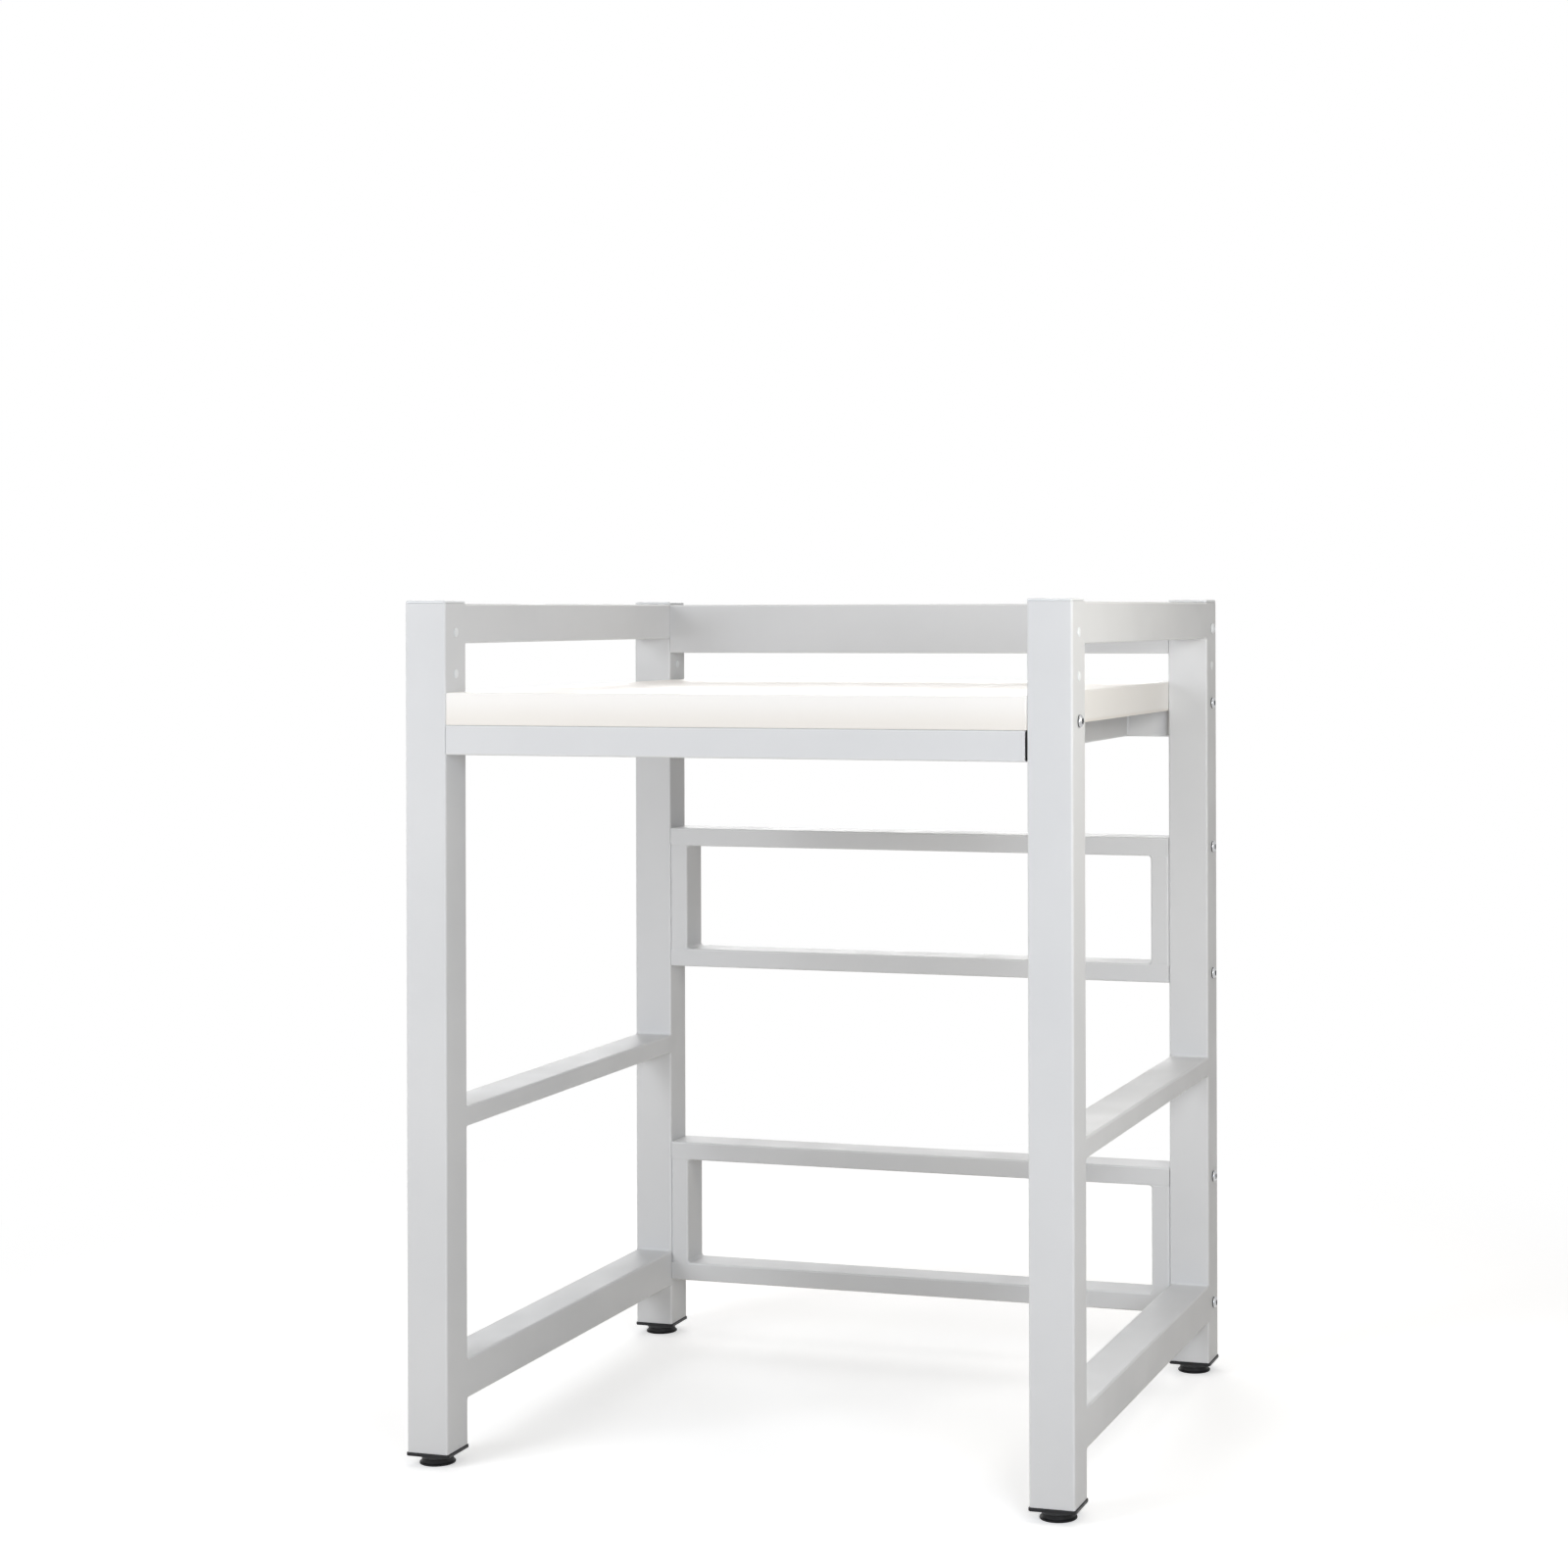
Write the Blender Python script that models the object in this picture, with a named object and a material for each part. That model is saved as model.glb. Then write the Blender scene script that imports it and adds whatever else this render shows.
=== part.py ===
"""Stacking stand that carries a dryer above a washing machine.

Two welded side frames of square steel tube stand on levelling feet. A folded
steel deck on its own under-frame is bolted between them, and two small
welded frames and a top crossbar tie the rear uprights together.
World frame: metres, +X to the right seen from the front, +Y to the back,
+Z up, origin on the floor under the middle of the stand.
"""
import math

import bmesh
import bpy

mm = 0.001

# Overall size
frame_width = 836 * mm
frame_depth = 732 * mm
overall_height = 1045 * mm

# Clearances
joint_gap = 0.3 * mm
thread_gap = 0.3 * mm
hole_clearance = 0.5 * mm
cutter_overrun = 4 * mm

# Square tube of the uprights, and the heights of the rails and crossbar,
# which are as wide as it is
tube_size = 54 * mm
rail_height = 48.5 * mm
crossbar_height = 68 * mm
tube_wall = 1.5 * mm
tube_inner_corner = 1.5 * mm

# Slim tube of the middle rails and the rear frames: as deep as the square
# tube, and about half as high
slim_height = 25 * mm

# Levelling feet, from the floor up
pad_radius = 22 * mm
pad_height = 7.5 * mm
pad_lip_height = 2.2 * mm
pad_lip_edge = 0.8 * mm
pad_waist_height = 3.2 * mm
pad_waist_radius = 20.4 * mm
pad_top_radius = 19.8 * mm
pad_floor = 2.5 * mm
pad_neck_thickness = 1.9 * mm
ball_radius = 9 * mm
ball_height = 2.5 * mm
neck_radius = 6 * mm
collar_radius = 20.8 * mm
collar_height = 4.9 * mm
collar_edge = 0.8 * mm
stud_radius = 5 * mm
stud_reach = 37 * mm
stud_tip = 0.8 * mm

# Black plug in the foot of each upright, with a threaded boss for the stud
plug_flange_thickness = 3.7 * mm
plug_overhang = 1.5 * mm
plug_edge = 0.6 * mm
plug_depth = 22 * mm
plug_wall = 2.2 * mm
plug_floor = 2.5 * mm
boss_wall = 4.5 * mm
boss_height = 20 * mm

# White cap in the top of each upright, rounded over above its rim
cap_thickness = 3.2 * mm
cap_rim = 0.4 * mm
cap_depth = 14 * mm
cap_wall = 1.8 * mm

# Heights above the floor
bottom_rail_underside = 72.5 * mm
middle_rail_underside = 403.5 * mm
lower_frame_underside = 81 * mm

# Drops below the top of the stand, and below the shelf for the upper frame
deck_drop = 111 * mm
upper_hole_drop = 39 * mm
upper_hole_pitch = 50 * mm
top_rail_drop = 0.5 * mm
upper_frame_drop = 136 * mm
rear_frame_height = 196 * mm

# Under-frame of the shelf
beam_size = 36 * mm
beam_end_gap_left = 0.3 * mm
beam_end_gap_right = 2.4 * mm
support_rail_inset = 62 * mm

# Folded deck and the ribs under its plate
deck_height = 38.7 * mm
deck_sheet = 1.5 * mm
deck_inner_bend = 2.5 * mm
deck_plan_corner = 5.5 * mm
deck_side_slack = 1.2 * mm
rib_width = 40 * mm
rib_spacing = 320 * mm

# M8 button-head bolts and their nuts
bolt_radius = 4 * mm
bolt_head_radius = 7.2 * mm
bolt_head_height = 4.2 * mm
bolt_rim = 1.1 * mm
bolt_socket_flats = 5 * mm
bolt_socket_depth = 2.4 * mm
bolt_thread_end = 2 * mm
nut_flats = 13 * mm
nut_height = 6.5 * mm
end_plate = 5 * mm
shelf_bolt_rise = 9.7 * mm

# Shares of a bolt head's radius and height, from its rim to its crown
bolt_dome_shares = ((0.9, 0.58), (0.55, 1.0))

# Points round each outline, for each corner of a rectangle or side of a hexagon
tube_corner_points = 3
foot_corner_points = 5
cap_rounding_points = 4
deck_bend_points = 4
drill_side_points = 2
bolt_side_points = 3

# Derived counts and lengths
drill_points = 6 * drill_side_points
bolt_points = 6 * bolt_side_points
half_width = frame_width / 2
half_depth = frame_depth / 2
half_tube = tube_size / 2
tube_corner = tube_inner_corner + tube_wall
collar_bottom = pad_height + joint_gap
collar_top = collar_bottom + collar_height
plug_bottom = collar_top + joint_gap
upright_bottom = plug_bottom + plug_flange_thickness + joint_gap
upright_top = overall_height - cap_thickness - joint_gap
cap_rounding = cap_thickness - cap_rim
upright_x = half_width - half_tube
upright_y = half_depth - half_tube
inner_x = half_width - tube_size
inner_y = half_depth - tube_size
bore_size = tube_size - 2 * tube_wall
hole_radius = bolt_radius + hole_clearance
deck_bend = deck_inner_bend + deck_sheet
deck_top = overall_height - deck_drop
deck_bottom = deck_top - deck_height
beam_underside = deck_bottom - joint_gap - beam_size
upper_frame_underside = beam_underside - upper_frame_drop - rear_frame_height
deck_half_width = inner_x - deck_side_slack
shelf_bolt_height = deck_bottom + shelf_bolt_rise
upper_hole_height = overall_height - upper_hole_drop
lower_hole_height = upper_hole_height - upper_hole_pitch
top_rail_top = upright_top - top_rail_drop

sharp_angle = math.radians(35)
along_x = (0, math.radians(90), 0)
along_y = (math.radians(-90), 0, 0)
along_z = (0, 0, 0)
sides = (("left", -1), ("right", 1))
ends = (("front", -1), ("rear", 1))
rear_frames = (("lower", lower_frame_underside), ("upper", upper_frame_underside))
bars_in_frame = (("bottom", slim_height / 2), ("top", rear_frame_height - slim_height / 2))


def clear_scene():
    """Remove every object and the meshes that they used."""
    for old in list(bpy.data.objects):
        bpy.data.objects.remove(old, do_unlink=True)
    for mesh in list(bpy.data.meshes):
        bpy.data.meshes.remove(mesh)


def make_material(name, colour, roughness, metallic=0.0):
    """Return a Principled material."""
    made = bpy.data.materials.new(name)
    made.use_nodes = True
    shader = made.node_tree.nodes["Principled BSDF"]
    shader.inputs["Base Color"].default_value = (*colour, 1.0)
    shader.inputs["Roughness"].default_value = roughness
    shader.inputs["Metallic"].default_value = metallic
    return made


def box_outline(width, depth, corner, z, corner_points=tube_corner_points):
    """Points of a rectangle with round corners, centred on the axis."""
    points = []
    for quarter, (side_x, side_y) in enumerate(((1, 1), (-1, 1), (-1, -1), (1, -1))):
        centre_x = side_x * (width / 2 - corner)
        centre_y = side_y * (depth / 2 - corner)
        for step in range(corner_points):
            angle = math.radians(90) * (quarter + step / (corner_points - 1))
            points.append((centre_x + corner * math.cos(angle), centre_y + corner * math.sin(angle), z))
    return points


def circle_outline(radius, z, count):
    """Evenly spaced points of a circle, in step with box_outline."""
    turn = math.radians(360) / count
    angles = [(i + 0.5) * turn for i in range(count)]
    return [(radius * math.cos(angle), radius * math.sin(angle), z) for angle in angles]


def hexagon_outline(across_flats, z, count):
    """Points along a hexagon, count being a multiple of six, in step with circle_outline."""
    points = []
    turn = math.radians(360) / count
    sector = math.radians(60)
    for i in range(count):
        angle = i * turn
        off_flat = (angle % sector) - sector / 2
        reach = across_flats / 2 / math.cos(off_flat)
        points.append((reach * math.cos(angle + turn / 2), reach * math.sin(angle + turn / 2), z))
    return points


def loft(bm, outlines, closed):
    """Skin a row of outlines; closed joins the last to the first, otherwise both ends get a face."""
    rings = [[bm.verts.new(point) for point in outline] for outline in outlines]
    pairs = list(zip(rings, rings[1:]))
    if closed:
        pairs.append((rings[-1], rings[0]))
    for low, high in pairs:
        for i in range(len(low)):
            j = (i + 1) % len(low)
            bm.faces.new((low[i], low[j], high[j], high[i]))
    if not closed:
        bm.faces.new(list(reversed(rings[0])))
        bm.faces.new(rings[-1])


def finish_mesh(name, bm):
    """Turn a bmesh into a mesh with outward faces and smooth round sides."""
    bmesh.ops.recalc_face_normals(bm, faces=bm.faces)
    mesh = bpy.data.meshes.new(name)
    bm.to_mesh(mesh)
    bm.free()
    mesh.shade_smooth()
    mesh.set_sharp_from_angle(angle=sharp_angle)
    return mesh


def place_mesh(name, mesh, material, location=(0, 0, 0), rotation=(0, 0, 0)):
    """Place a mesh, which other objects may share, as an object of its own."""
    placed = bpy.data.objects.new(name, mesh)
    bpy.context.collection.objects.link(placed)
    placed.location = location
    placed.rotation_euler = rotation
    if not mesh.materials:
        mesh.materials.append(material)
    return placed


def add_tube(name, material, width, depth, start, length, rotation):
    """Add a rectangular tube with open ends; it runs from start along its own +Z.

    Turned along +X, its width stands upright; turned along +Y, its depth does.
    """
    bm = bmesh.new()
    inner_width = width - 2 * tube_wall
    inner_depth = depth - 2 * tube_wall
    loft(bm, [
        box_outline(width, depth, tube_corner, 0),
        box_outline(width, depth, tube_corner, length),
        box_outline(inner_width, inner_depth, tube_inner_corner, length),
        box_outline(inner_width, inner_depth, tube_inner_corner, 0),
    ], closed=True)
    return place_mesh(name, finish_mesh(name, bm), material, start, rotation)


def cross_hole(bm, x_low, x_high, y, z):
    """Add a drill for one hole along X."""
    rings = []
    for x in (x_low, x_high):
        flat = circle_outline(hole_radius, 0, drill_points)
        rings.append([(x, y + across, z + up) for across, up, _ in flat])
    loft(bm, rings, closed=False)


def add_cutter(target, name, bm):
    """Cut a bmesh out of the target."""
    cutter = bpy.data.objects.new(name, finish_mesh(name, bm))
    bpy.context.collection.objects.link(cutter)
    cutter.hide_render = True
    cutter.display_type = "WIRE"
    cut = target.modifiers.new(name, "BOOLEAN")
    cut.operation = "DIFFERENCE"
    cut.solver = "EXACT"
    cut.object = cutter


def add_side_frames(steel):
    """Uprights with their holes, and the three rails that are welded between each pair."""
    for side, sx in sides:
        for end, sy in ends:
            name = f"upright_{end}_{side}"
            start = (sx * upright_x, sy * upright_y, upright_bottom)
            length = upright_top - upright_bottom
            upright = add_tube(name, steel, tube_size, tube_size, start, length, along_z)
            heights = [shelf_bolt_height, lower_hole_height, upper_hole_height]
            if end == "rear":
                heights += [underside + rise for _, underside in rear_frames for _, rise in bars_in_frame]
            drills = bmesh.new()
            centre = sx * upright_x
            reach = half_tube + cutter_overrun
            for height in heights:
                cross_hole(drills, centre - reach, centre + reach, sy * upright_y, height)
            add_cutter(upright, f"drill_{end}_{side}", drills)
        rail_start = -inner_y + joint_gap
        rail_length = 2 * (inner_y - joint_gap)
        for rail, height, top in (
            ("bottom_rail", rail_height, bottom_rail_underside + rail_height),
            ("middle_rail", slim_height, middle_rail_underside + slim_height),
            ("guard_rail", rail_height, top_rail_top),
        ):
            start = (sx * upright_x, rail_start, top - height / 2)
            add_tube(f"{rail}_{side}", steel, tube_size, height, start, rail_length, along_y)


def add_under_frame(steel):
    """Front and rear beams under the deck and the two rails between them."""
    beam_start = -inner_x + beam_end_gap_left
    beam_length = 2 * inner_x - beam_end_gap_left - beam_end_gap_right
    beam_z = beam_underside + beam_size / 2
    for end, sy in ends:
        start = (beam_start, sy * (half_depth - beam_size / 2), beam_z)
        add_tube(f"shelf_beam_{end}", steel, beam_size, beam_size, start, beam_length, along_x)
    rail_half = half_depth - beam_size - joint_gap
    for side, sx in sides:
        start = (sx * (inner_x - support_rail_inset - beam_size / 2), -rail_half, beam_z)
        add_tube(f"support_rail_{side}", steel, beam_size, beam_size, start, 2 * rail_half, along_y)


def bend_outlines(outer_inset, radius, centre_z):
    """Outlines of the deck's skin round the bend between its flanges and its plate, from the flange up."""
    outlines = []
    for step in range(deck_bend_points):
        angle = math.radians(90) * step / (deck_bend_points - 1)
        inset = outer_inset + radius * (1 - math.cos(angle))
        width = 2 * (deck_half_width - inset)
        depth = 2 * (half_depth - inset)
        height = centre_z + radius * math.sin(angle)
        outlines.append(box_outline(width, depth, deck_plan_corner - inset, height))
    return outlines


def add_deck(sheet):
    """Folded steel deck: a plate with flanges turned down all round, open below."""
    bend_z = deck_top - deck_bend
    outer_skin = bend_outlines(0, deck_bend, bend_z)
    inner_skin = bend_outlines(deck_sheet, deck_inner_bend, bend_z)
    width = 2 * deck_half_width
    depth = 2 * half_depth
    inner_width = width - 2 * deck_sheet
    inner_depth = depth - 2 * deck_sheet
    inner_corner = deck_plan_corner - deck_sheet
    bm = bmesh.new()
    loft(bm, [
        *reversed(inner_skin),
        box_outline(inner_width, inner_depth, inner_corner, deck_bottom),
        box_outline(width, depth, deck_plan_corner, deck_bottom),
        *outer_skin,
    ], closed=False)
    deck = place_mesh("shelf_deck", finish_mesh("shelf_deck", bm), sheet)
    drills = bmesh.new()
    drill_inner = deck_half_width - deck_sheet - cutter_overrun
    drill_outer = deck_half_width + cutter_overrun
    for _, sy in ends:
        cross_hole(drills, -drill_outer, -drill_inner, sy * upright_y, shelf_bolt_height)
        cross_hole(drills, drill_inner, drill_outer, sy * upright_y, shelf_bolt_height)
    add_cutter(deck, "deck_drill", drills)


def add_deck_ribs(steel):
    """Box ribs between the deck's side flanges, from the support rails up to its plate."""
    half_length = deck_half_width - deck_bend - joint_gap
    rib_height = deck_height - deck_sheet - joint_gap
    for end, sy in ends:
        start = (-half_length, sy * rib_spacing / 2, deck_bottom + rib_height / 2)
        add_tube(f"deck_rib_{end}", steel, rib_height, rib_width, start, 2 * half_length, along_x)


def add_tie(name, steel, height, start, length):
    """Add a tie bar along +X: a tube closed at each end by a welded plate with a threaded hole."""
    bore = bolt_radius + thread_gap
    points = 4 * tube_corner_points
    inner_height = height - 2 * tube_wall
    bm = bmesh.new()
    loft(bm, [
        box_outline(height, tube_size, tube_corner, 0),
        box_outline(height, tube_size, tube_corner, length),
        circle_outline(bore, length, points),
        circle_outline(bore, length - end_plate, points),
        box_outline(inner_height, bore_size, tube_inner_corner, length - end_plate),
        box_outline(inner_height, bore_size, tube_inner_corner, end_plate),
        circle_outline(bore, end_plate, points),
        circle_outline(bore, 0, points),
    ], closed=True)
    return place_mesh(name, finish_mesh(name, bm), steel, start, along_x)


def add_rear_ties(steel):
    """The two rectangular frames and the crossbar between the rear uprights."""
    half_length = inner_x - joint_gap
    for frame, underside in rear_frames:
        for bar, rise in bars_in_frame:
            start = (-half_length, upright_y, underside + rise)
            add_tie(f"{frame}_frame_{bar}_bar", steel, slim_height, start, 2 * half_length)
        post_start = underside + slim_height + joint_gap
        length = rear_frame_height - 2 * (slim_height + joint_gap)
        for side, sx in sides:
            start = (sx * (half_length - slim_height / 2), upright_y, post_start)
            add_tube(f"{frame}_frame_post_{side}", steel, slim_height, tube_size, start, length, along_z)
    start = (-half_length, upright_y, upper_hole_height)
    add_tie("top_crossbar", steel, crossbar_height, start, 2 * half_length)


def add_caps(plastic):
    """End caps pushed into the tops of the uprights."""
    skirt = bore_size - 2 * joint_gap
    hollow = skirt - 2 * cap_wall
    underside = upright_top + joint_gap
    outlines = [
        box_outline(hollow, hollow, tube_inner_corner, underside),
        box_outline(hollow, hollow, tube_inner_corner, underside - cap_depth),
        box_outline(skirt, skirt, tube_inner_corner, underside - cap_depth),
        box_outline(skirt, skirt, tube_inner_corner, underside),
        box_outline(tube_size, tube_size, tube_corner, underside),
    ]
    for step in range(cap_rounding_points):
        angle = math.radians(90) * step / (cap_rounding_points - 1)
        size = tube_size - 2 * cap_rounding * (1 - math.cos(angle))
        height = underside + cap_rim + cap_rounding * math.sin(angle)
        outlines.append(box_outline(size, size, tube_corner, height))
    bm = bmesh.new()
    loft(bm, outlines, closed=False)
    mesh = finish_mesh("top_cap", bm)
    for side, sx in sides:
        for end, sy in ends:
            place_mesh(f"top_cap_{end}_{side}", mesh, plastic, (sx * upright_x, sy * upright_y, 0))


def add_base_plugs(plastic):
    """Black plugs in the feet of the uprights, each with a threaded boss in the middle."""
    points = 4 * foot_corner_points
    flange = tube_size + 2 * plug_overhang
    flange_foot = flange - 2 * plug_edge
    flange_corner = tube_corner + plug_overhang
    flange_top = plug_bottom + plug_flange_thickness
    plug_top = flange_top + plug_depth
    skirt = bore_size - 2 * joint_gap
    hollow = skirt - 2 * plug_wall
    floor = flange_top + plug_floor
    bore = stud_radius + thread_gap
    boss_top = plug_bottom + boss_height
    bm = bmesh.new()
    loft(bm, [
        circle_outline(bore, plug_bottom, points),
        box_outline(flange_foot, flange_foot, flange_corner, plug_bottom, foot_corner_points),
        box_outline(flange, flange, flange_corner, plug_bottom + plug_edge, foot_corner_points),
        box_outline(flange, flange, flange_corner, flange_top, foot_corner_points),
        box_outline(skirt, skirt, tube_inner_corner, flange_top, foot_corner_points),
        box_outline(skirt, skirt, tube_inner_corner, plug_top, foot_corner_points),
        box_outline(hollow, hollow, tube_inner_corner, plug_top, foot_corner_points),
        box_outline(hollow, hollow, tube_inner_corner, floor, foot_corner_points),
        circle_outline(bore + boss_wall, floor, points),
        circle_outline(bore + boss_wall, boss_top, points),
        circle_outline(bore, boss_top, points),
    ], closed=True)
    mesh = finish_mesh("base_plug", bm)
    for side, sx in sides:
        for end, sy in ends:
            place_mesh(f"base_plug_{end}_{side}", mesh, plastic, (sx * upright_x, sy * upright_y, 0))


def add_feet(rubber, stud_steel):
    """Levelling feet: a pad on the floor and a stud with a finger collar that turns in it."""
    points = 4 * foot_corner_points
    pocket_radius = ball_radius + joint_gap
    pocket_neck = neck_radius + joint_gap
    pocket_top = pad_height - pad_neck_thickness
    ball_bottom = pad_floor + joint_gap
    pad = bmesh.new()
    loft(pad, [
        circle_outline(pocket_radius, pad_floor, points),
        circle_outline(pocket_radius, pocket_top, points),
        circle_outline(pocket_neck, pocket_top, points),
        circle_outline(pocket_neck, pad_height, points),
        circle_outline(pad_top_radius, pad_height, points),
        circle_outline(pad_waist_radius, pad_waist_height, points),
        circle_outline(pad_radius, pad_lip_height, points),
        circle_outline(pad_radius, pad_lip_edge, points),
        circle_outline(pad_radius - pad_lip_edge, 0, points),
    ], closed=False)
    stud = bmesh.new()
    loft(stud, [
        circle_outline(ball_radius, ball_bottom, points),
        circle_outline(ball_radius, ball_bottom + ball_height, points),
        circle_outline(neck_radius, ball_bottom + ball_height, points),
        circle_outline(neck_radius, collar_bottom, points),
        circle_outline(collar_radius, collar_bottom, points),
        circle_outline(collar_radius, collar_top - collar_edge, points),
        circle_outline(collar_radius - collar_edge, collar_top, points),
        circle_outline(stud_radius, collar_top, points),
        circle_outline(stud_radius, collar_top + stud_reach - stud_tip, points),
        circle_outline(stud_radius - stud_tip, collar_top + stud_reach, points),
    ], closed=False)
    pad_mesh = finish_mesh("foot_pad", pad)
    stud_mesh = finish_mesh("foot_stud", stud)
    for side, sx in sides:
        for end, sy in ends:
            place = (sx * upright_x, sy * upright_y, 0)
            place_mesh(f"foot_pad_{end}_{side}", pad_mesh, rubber, place)
            place_mesh(f"foot_stud_{end}_{side}", stud_mesh, stud_steel, place)


def bolt_mesh(name, shank_length):
    """Button-head bolt along +Z, its head seated at zero and its shank below."""
    rings = [
        circle_outline(bolt_radius, -shank_length, bolt_points),
        circle_outline(bolt_radius, 0, bolt_points),
        circle_outline(bolt_head_radius, 0, bolt_points),
        circle_outline(bolt_head_radius, bolt_rim, bolt_points),
    ]
    dome = bolt_head_height - bolt_rim
    for radius_share, height_share in bolt_dome_shares:
        height = bolt_rim + dome * height_share
        rings.append(circle_outline(bolt_head_radius * radius_share, height, bolt_points))
    rings.append(hexagon_outline(bolt_socket_flats, bolt_head_height, bolt_points))
    rings.append(hexagon_outline(bolt_socket_flats, bolt_head_height - bolt_socket_depth, bolt_points))
    bm = bmesh.new()
    loft(bm, rings, closed=False)
    return finish_mesh(name, bm)


def nut_mesh():
    """Hexagon nut below zero, with its bore along Z."""
    bore = bolt_radius + thread_gap
    bm = bmesh.new()
    loft(bm, [
        hexagon_outline(nut_flats, 0, drill_points),
        hexagon_outline(nut_flats, -nut_height, drill_points),
        circle_outline(bore, -nut_height, drill_points),
        circle_outline(bore, 0, drill_points),
    ], closed=True)
    return finish_mesh("hex_nut", bm)


def add_fasteners(zinc, painted):
    """Bolts driven in from the outer sides of the uprights, and the nuts behind the deck's flanges."""
    tie_shank = tube_size + 2 * joint_gap + end_plate + bolt_thread_end
    shelf_shank = tube_size + deck_side_slack + deck_sheet + nut_height + 2 * joint_gap + bolt_thread_end
    tie_bolt = bolt_mesh("tie_bolt", tie_shank)
    cross_bolt = bolt_mesh("cross_bolt", tie_shank)
    shelf_bolt = bolt_mesh("shelf_bolt", shelf_shank)
    nut = nut_mesh()
    nut_face = deck_half_width - deck_sheet - joint_gap
    for side, sx in sides:
        seat = sx * (half_width + joint_gap)
        outward = (0, sx * math.radians(90), 0)
        for end, sy in ends:
            y = sy * upright_y
            bolt_place = (seat, y, shelf_bolt_height)
            nut_place = (sx * nut_face, y, shelf_bolt_height)
            place_mesh(f"shelf_bolt_{end}_{side}", shelf_bolt, zinc, bolt_place, outward)
            place_mesh(f"shelf_nut_{end}_{side}", nut, zinc, nut_place, outward)
        for frame, underside in rear_frames:
            for bar, rise in bars_in_frame:
                place = (seat, upright_y, underside + rise)
                place_mesh(f"{frame}_frame_{bar}_bolt_{side}", tie_bolt, zinc, place, outward)
        place = (seat, upright_y, upper_hole_height)
        place_mesh(f"crossbar_bolt_{side}", cross_bolt, painted, place, outward)


def main():
    clear_scene()
    steel = make_material("powder_coat", (0.70, 0.71, 0.72), 0.38)
    sheet = make_material("deck_coat", (0.88, 0.86, 0.82), 0.36)
    white_plastic = make_material("white_plastic", (0.80, 0.82, 0.83), 0.42)
    black_plastic = make_material("black_plastic", (0.02, 0.02, 0.022), 0.45)
    rubber = make_material("foot_rubber", (0.018, 0.018, 0.02), 0.6)
    black_steel = make_material("stud_steel", (0.025, 0.026, 0.028), 0.4, 0.3)
    zinc = make_material("zinc_plate", (0.62, 0.63, 0.64), 0.25, 1.0)
    painted = make_material("painted_bolt", (0.78, 0.80, 0.81), 0.4)
    add_side_frames(steel)
    add_under_frame(steel)
    add_deck(sheet)
    add_deck_ribs(steel)
    add_rear_ties(steel)
    add_caps(white_plastic)
    add_base_plugs(black_plastic)
    add_feet(rubber, black_steel)
    add_fasteners(zinc, painted)


main()
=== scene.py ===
"""Looks of the washer dryer stacking stand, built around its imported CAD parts.

Every tube, fold, cap, foot and fastener is remade here as a fine smooth mesh in
the place of its CAD node. Weld seams and hole plugs are added, each surface gets
its finish, and the stand is set in a plain white studio.
World frame: metres, +X to the right seen from the front, +Y to the back, +Z up.
"""
import math

import bmesh
import bpy
from mathutils import Matrix, Vector


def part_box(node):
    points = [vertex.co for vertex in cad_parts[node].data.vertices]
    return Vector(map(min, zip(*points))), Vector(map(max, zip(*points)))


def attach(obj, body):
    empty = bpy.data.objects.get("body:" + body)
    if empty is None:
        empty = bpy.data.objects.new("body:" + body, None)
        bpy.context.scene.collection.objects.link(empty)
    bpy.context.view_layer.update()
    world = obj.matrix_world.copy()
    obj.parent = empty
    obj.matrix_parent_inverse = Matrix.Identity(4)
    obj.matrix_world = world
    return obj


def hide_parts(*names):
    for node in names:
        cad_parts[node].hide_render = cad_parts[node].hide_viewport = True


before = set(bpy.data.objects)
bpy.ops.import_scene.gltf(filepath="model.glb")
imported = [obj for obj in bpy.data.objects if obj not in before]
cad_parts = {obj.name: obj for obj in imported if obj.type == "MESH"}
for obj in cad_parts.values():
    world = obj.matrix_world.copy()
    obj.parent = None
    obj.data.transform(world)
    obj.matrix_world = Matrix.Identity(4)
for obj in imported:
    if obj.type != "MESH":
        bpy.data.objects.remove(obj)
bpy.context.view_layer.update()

mm = 0.001
full_turn = math.radians(360)
quarter_turn = math.radians(90)
near_axis = 0.01 * mm

# Rectangular tube
tube_wall = 1.5 * mm
tube_corner = 3.0 * mm
tube_inner_corner = 1.5 * mm
cut_edge = 0.25 * mm
end_plate = 5.0 * mm
plate_bore = 4.3 * mm
crossbar_reach = 0.25 * mm

# Holes through the uprights
hole_radius = 4.5 * mm
upper_hole_drop = 39 * mm
upper_hole_pitch = 50 * mm
drill_overrun = 4 * mm

# Folded deck
deck_sheet = 1.5 * mm
deck_bend = 2.4 * mm
deck_rim_drop = 0.27 * mm
deck_rim_band = 1.2 * mm
# Deck's edge values: -1 on the flanges' bottom band is painted shade, the inner cut edge a painted
# highlight
deck_rim_shade = -1.0
deck_inner_highlight = 0.4
deck_plan_corner = 2.2 * mm
deck_side_reach = 1.1 * mm
deck_least_corner = 1.0 * mm

# Caps in the tops of the uprights
cap_rim = 0.4 * mm
cap_thickness = 3.2 * mm
cap_skirt = 50.4 * mm
cap_wall = 1.8 * mm
cap_corner = 3.4 * mm
cap_crown = 0.25 * mm
cap_seam = 0.12 * mm
cap_roof_drop = 0.6 * mm
cap_lead = 0.4 * mm
cap_lead_height = 2 * mm
cap_crown_shares = (0.3, 0.6, 0.85)

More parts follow.
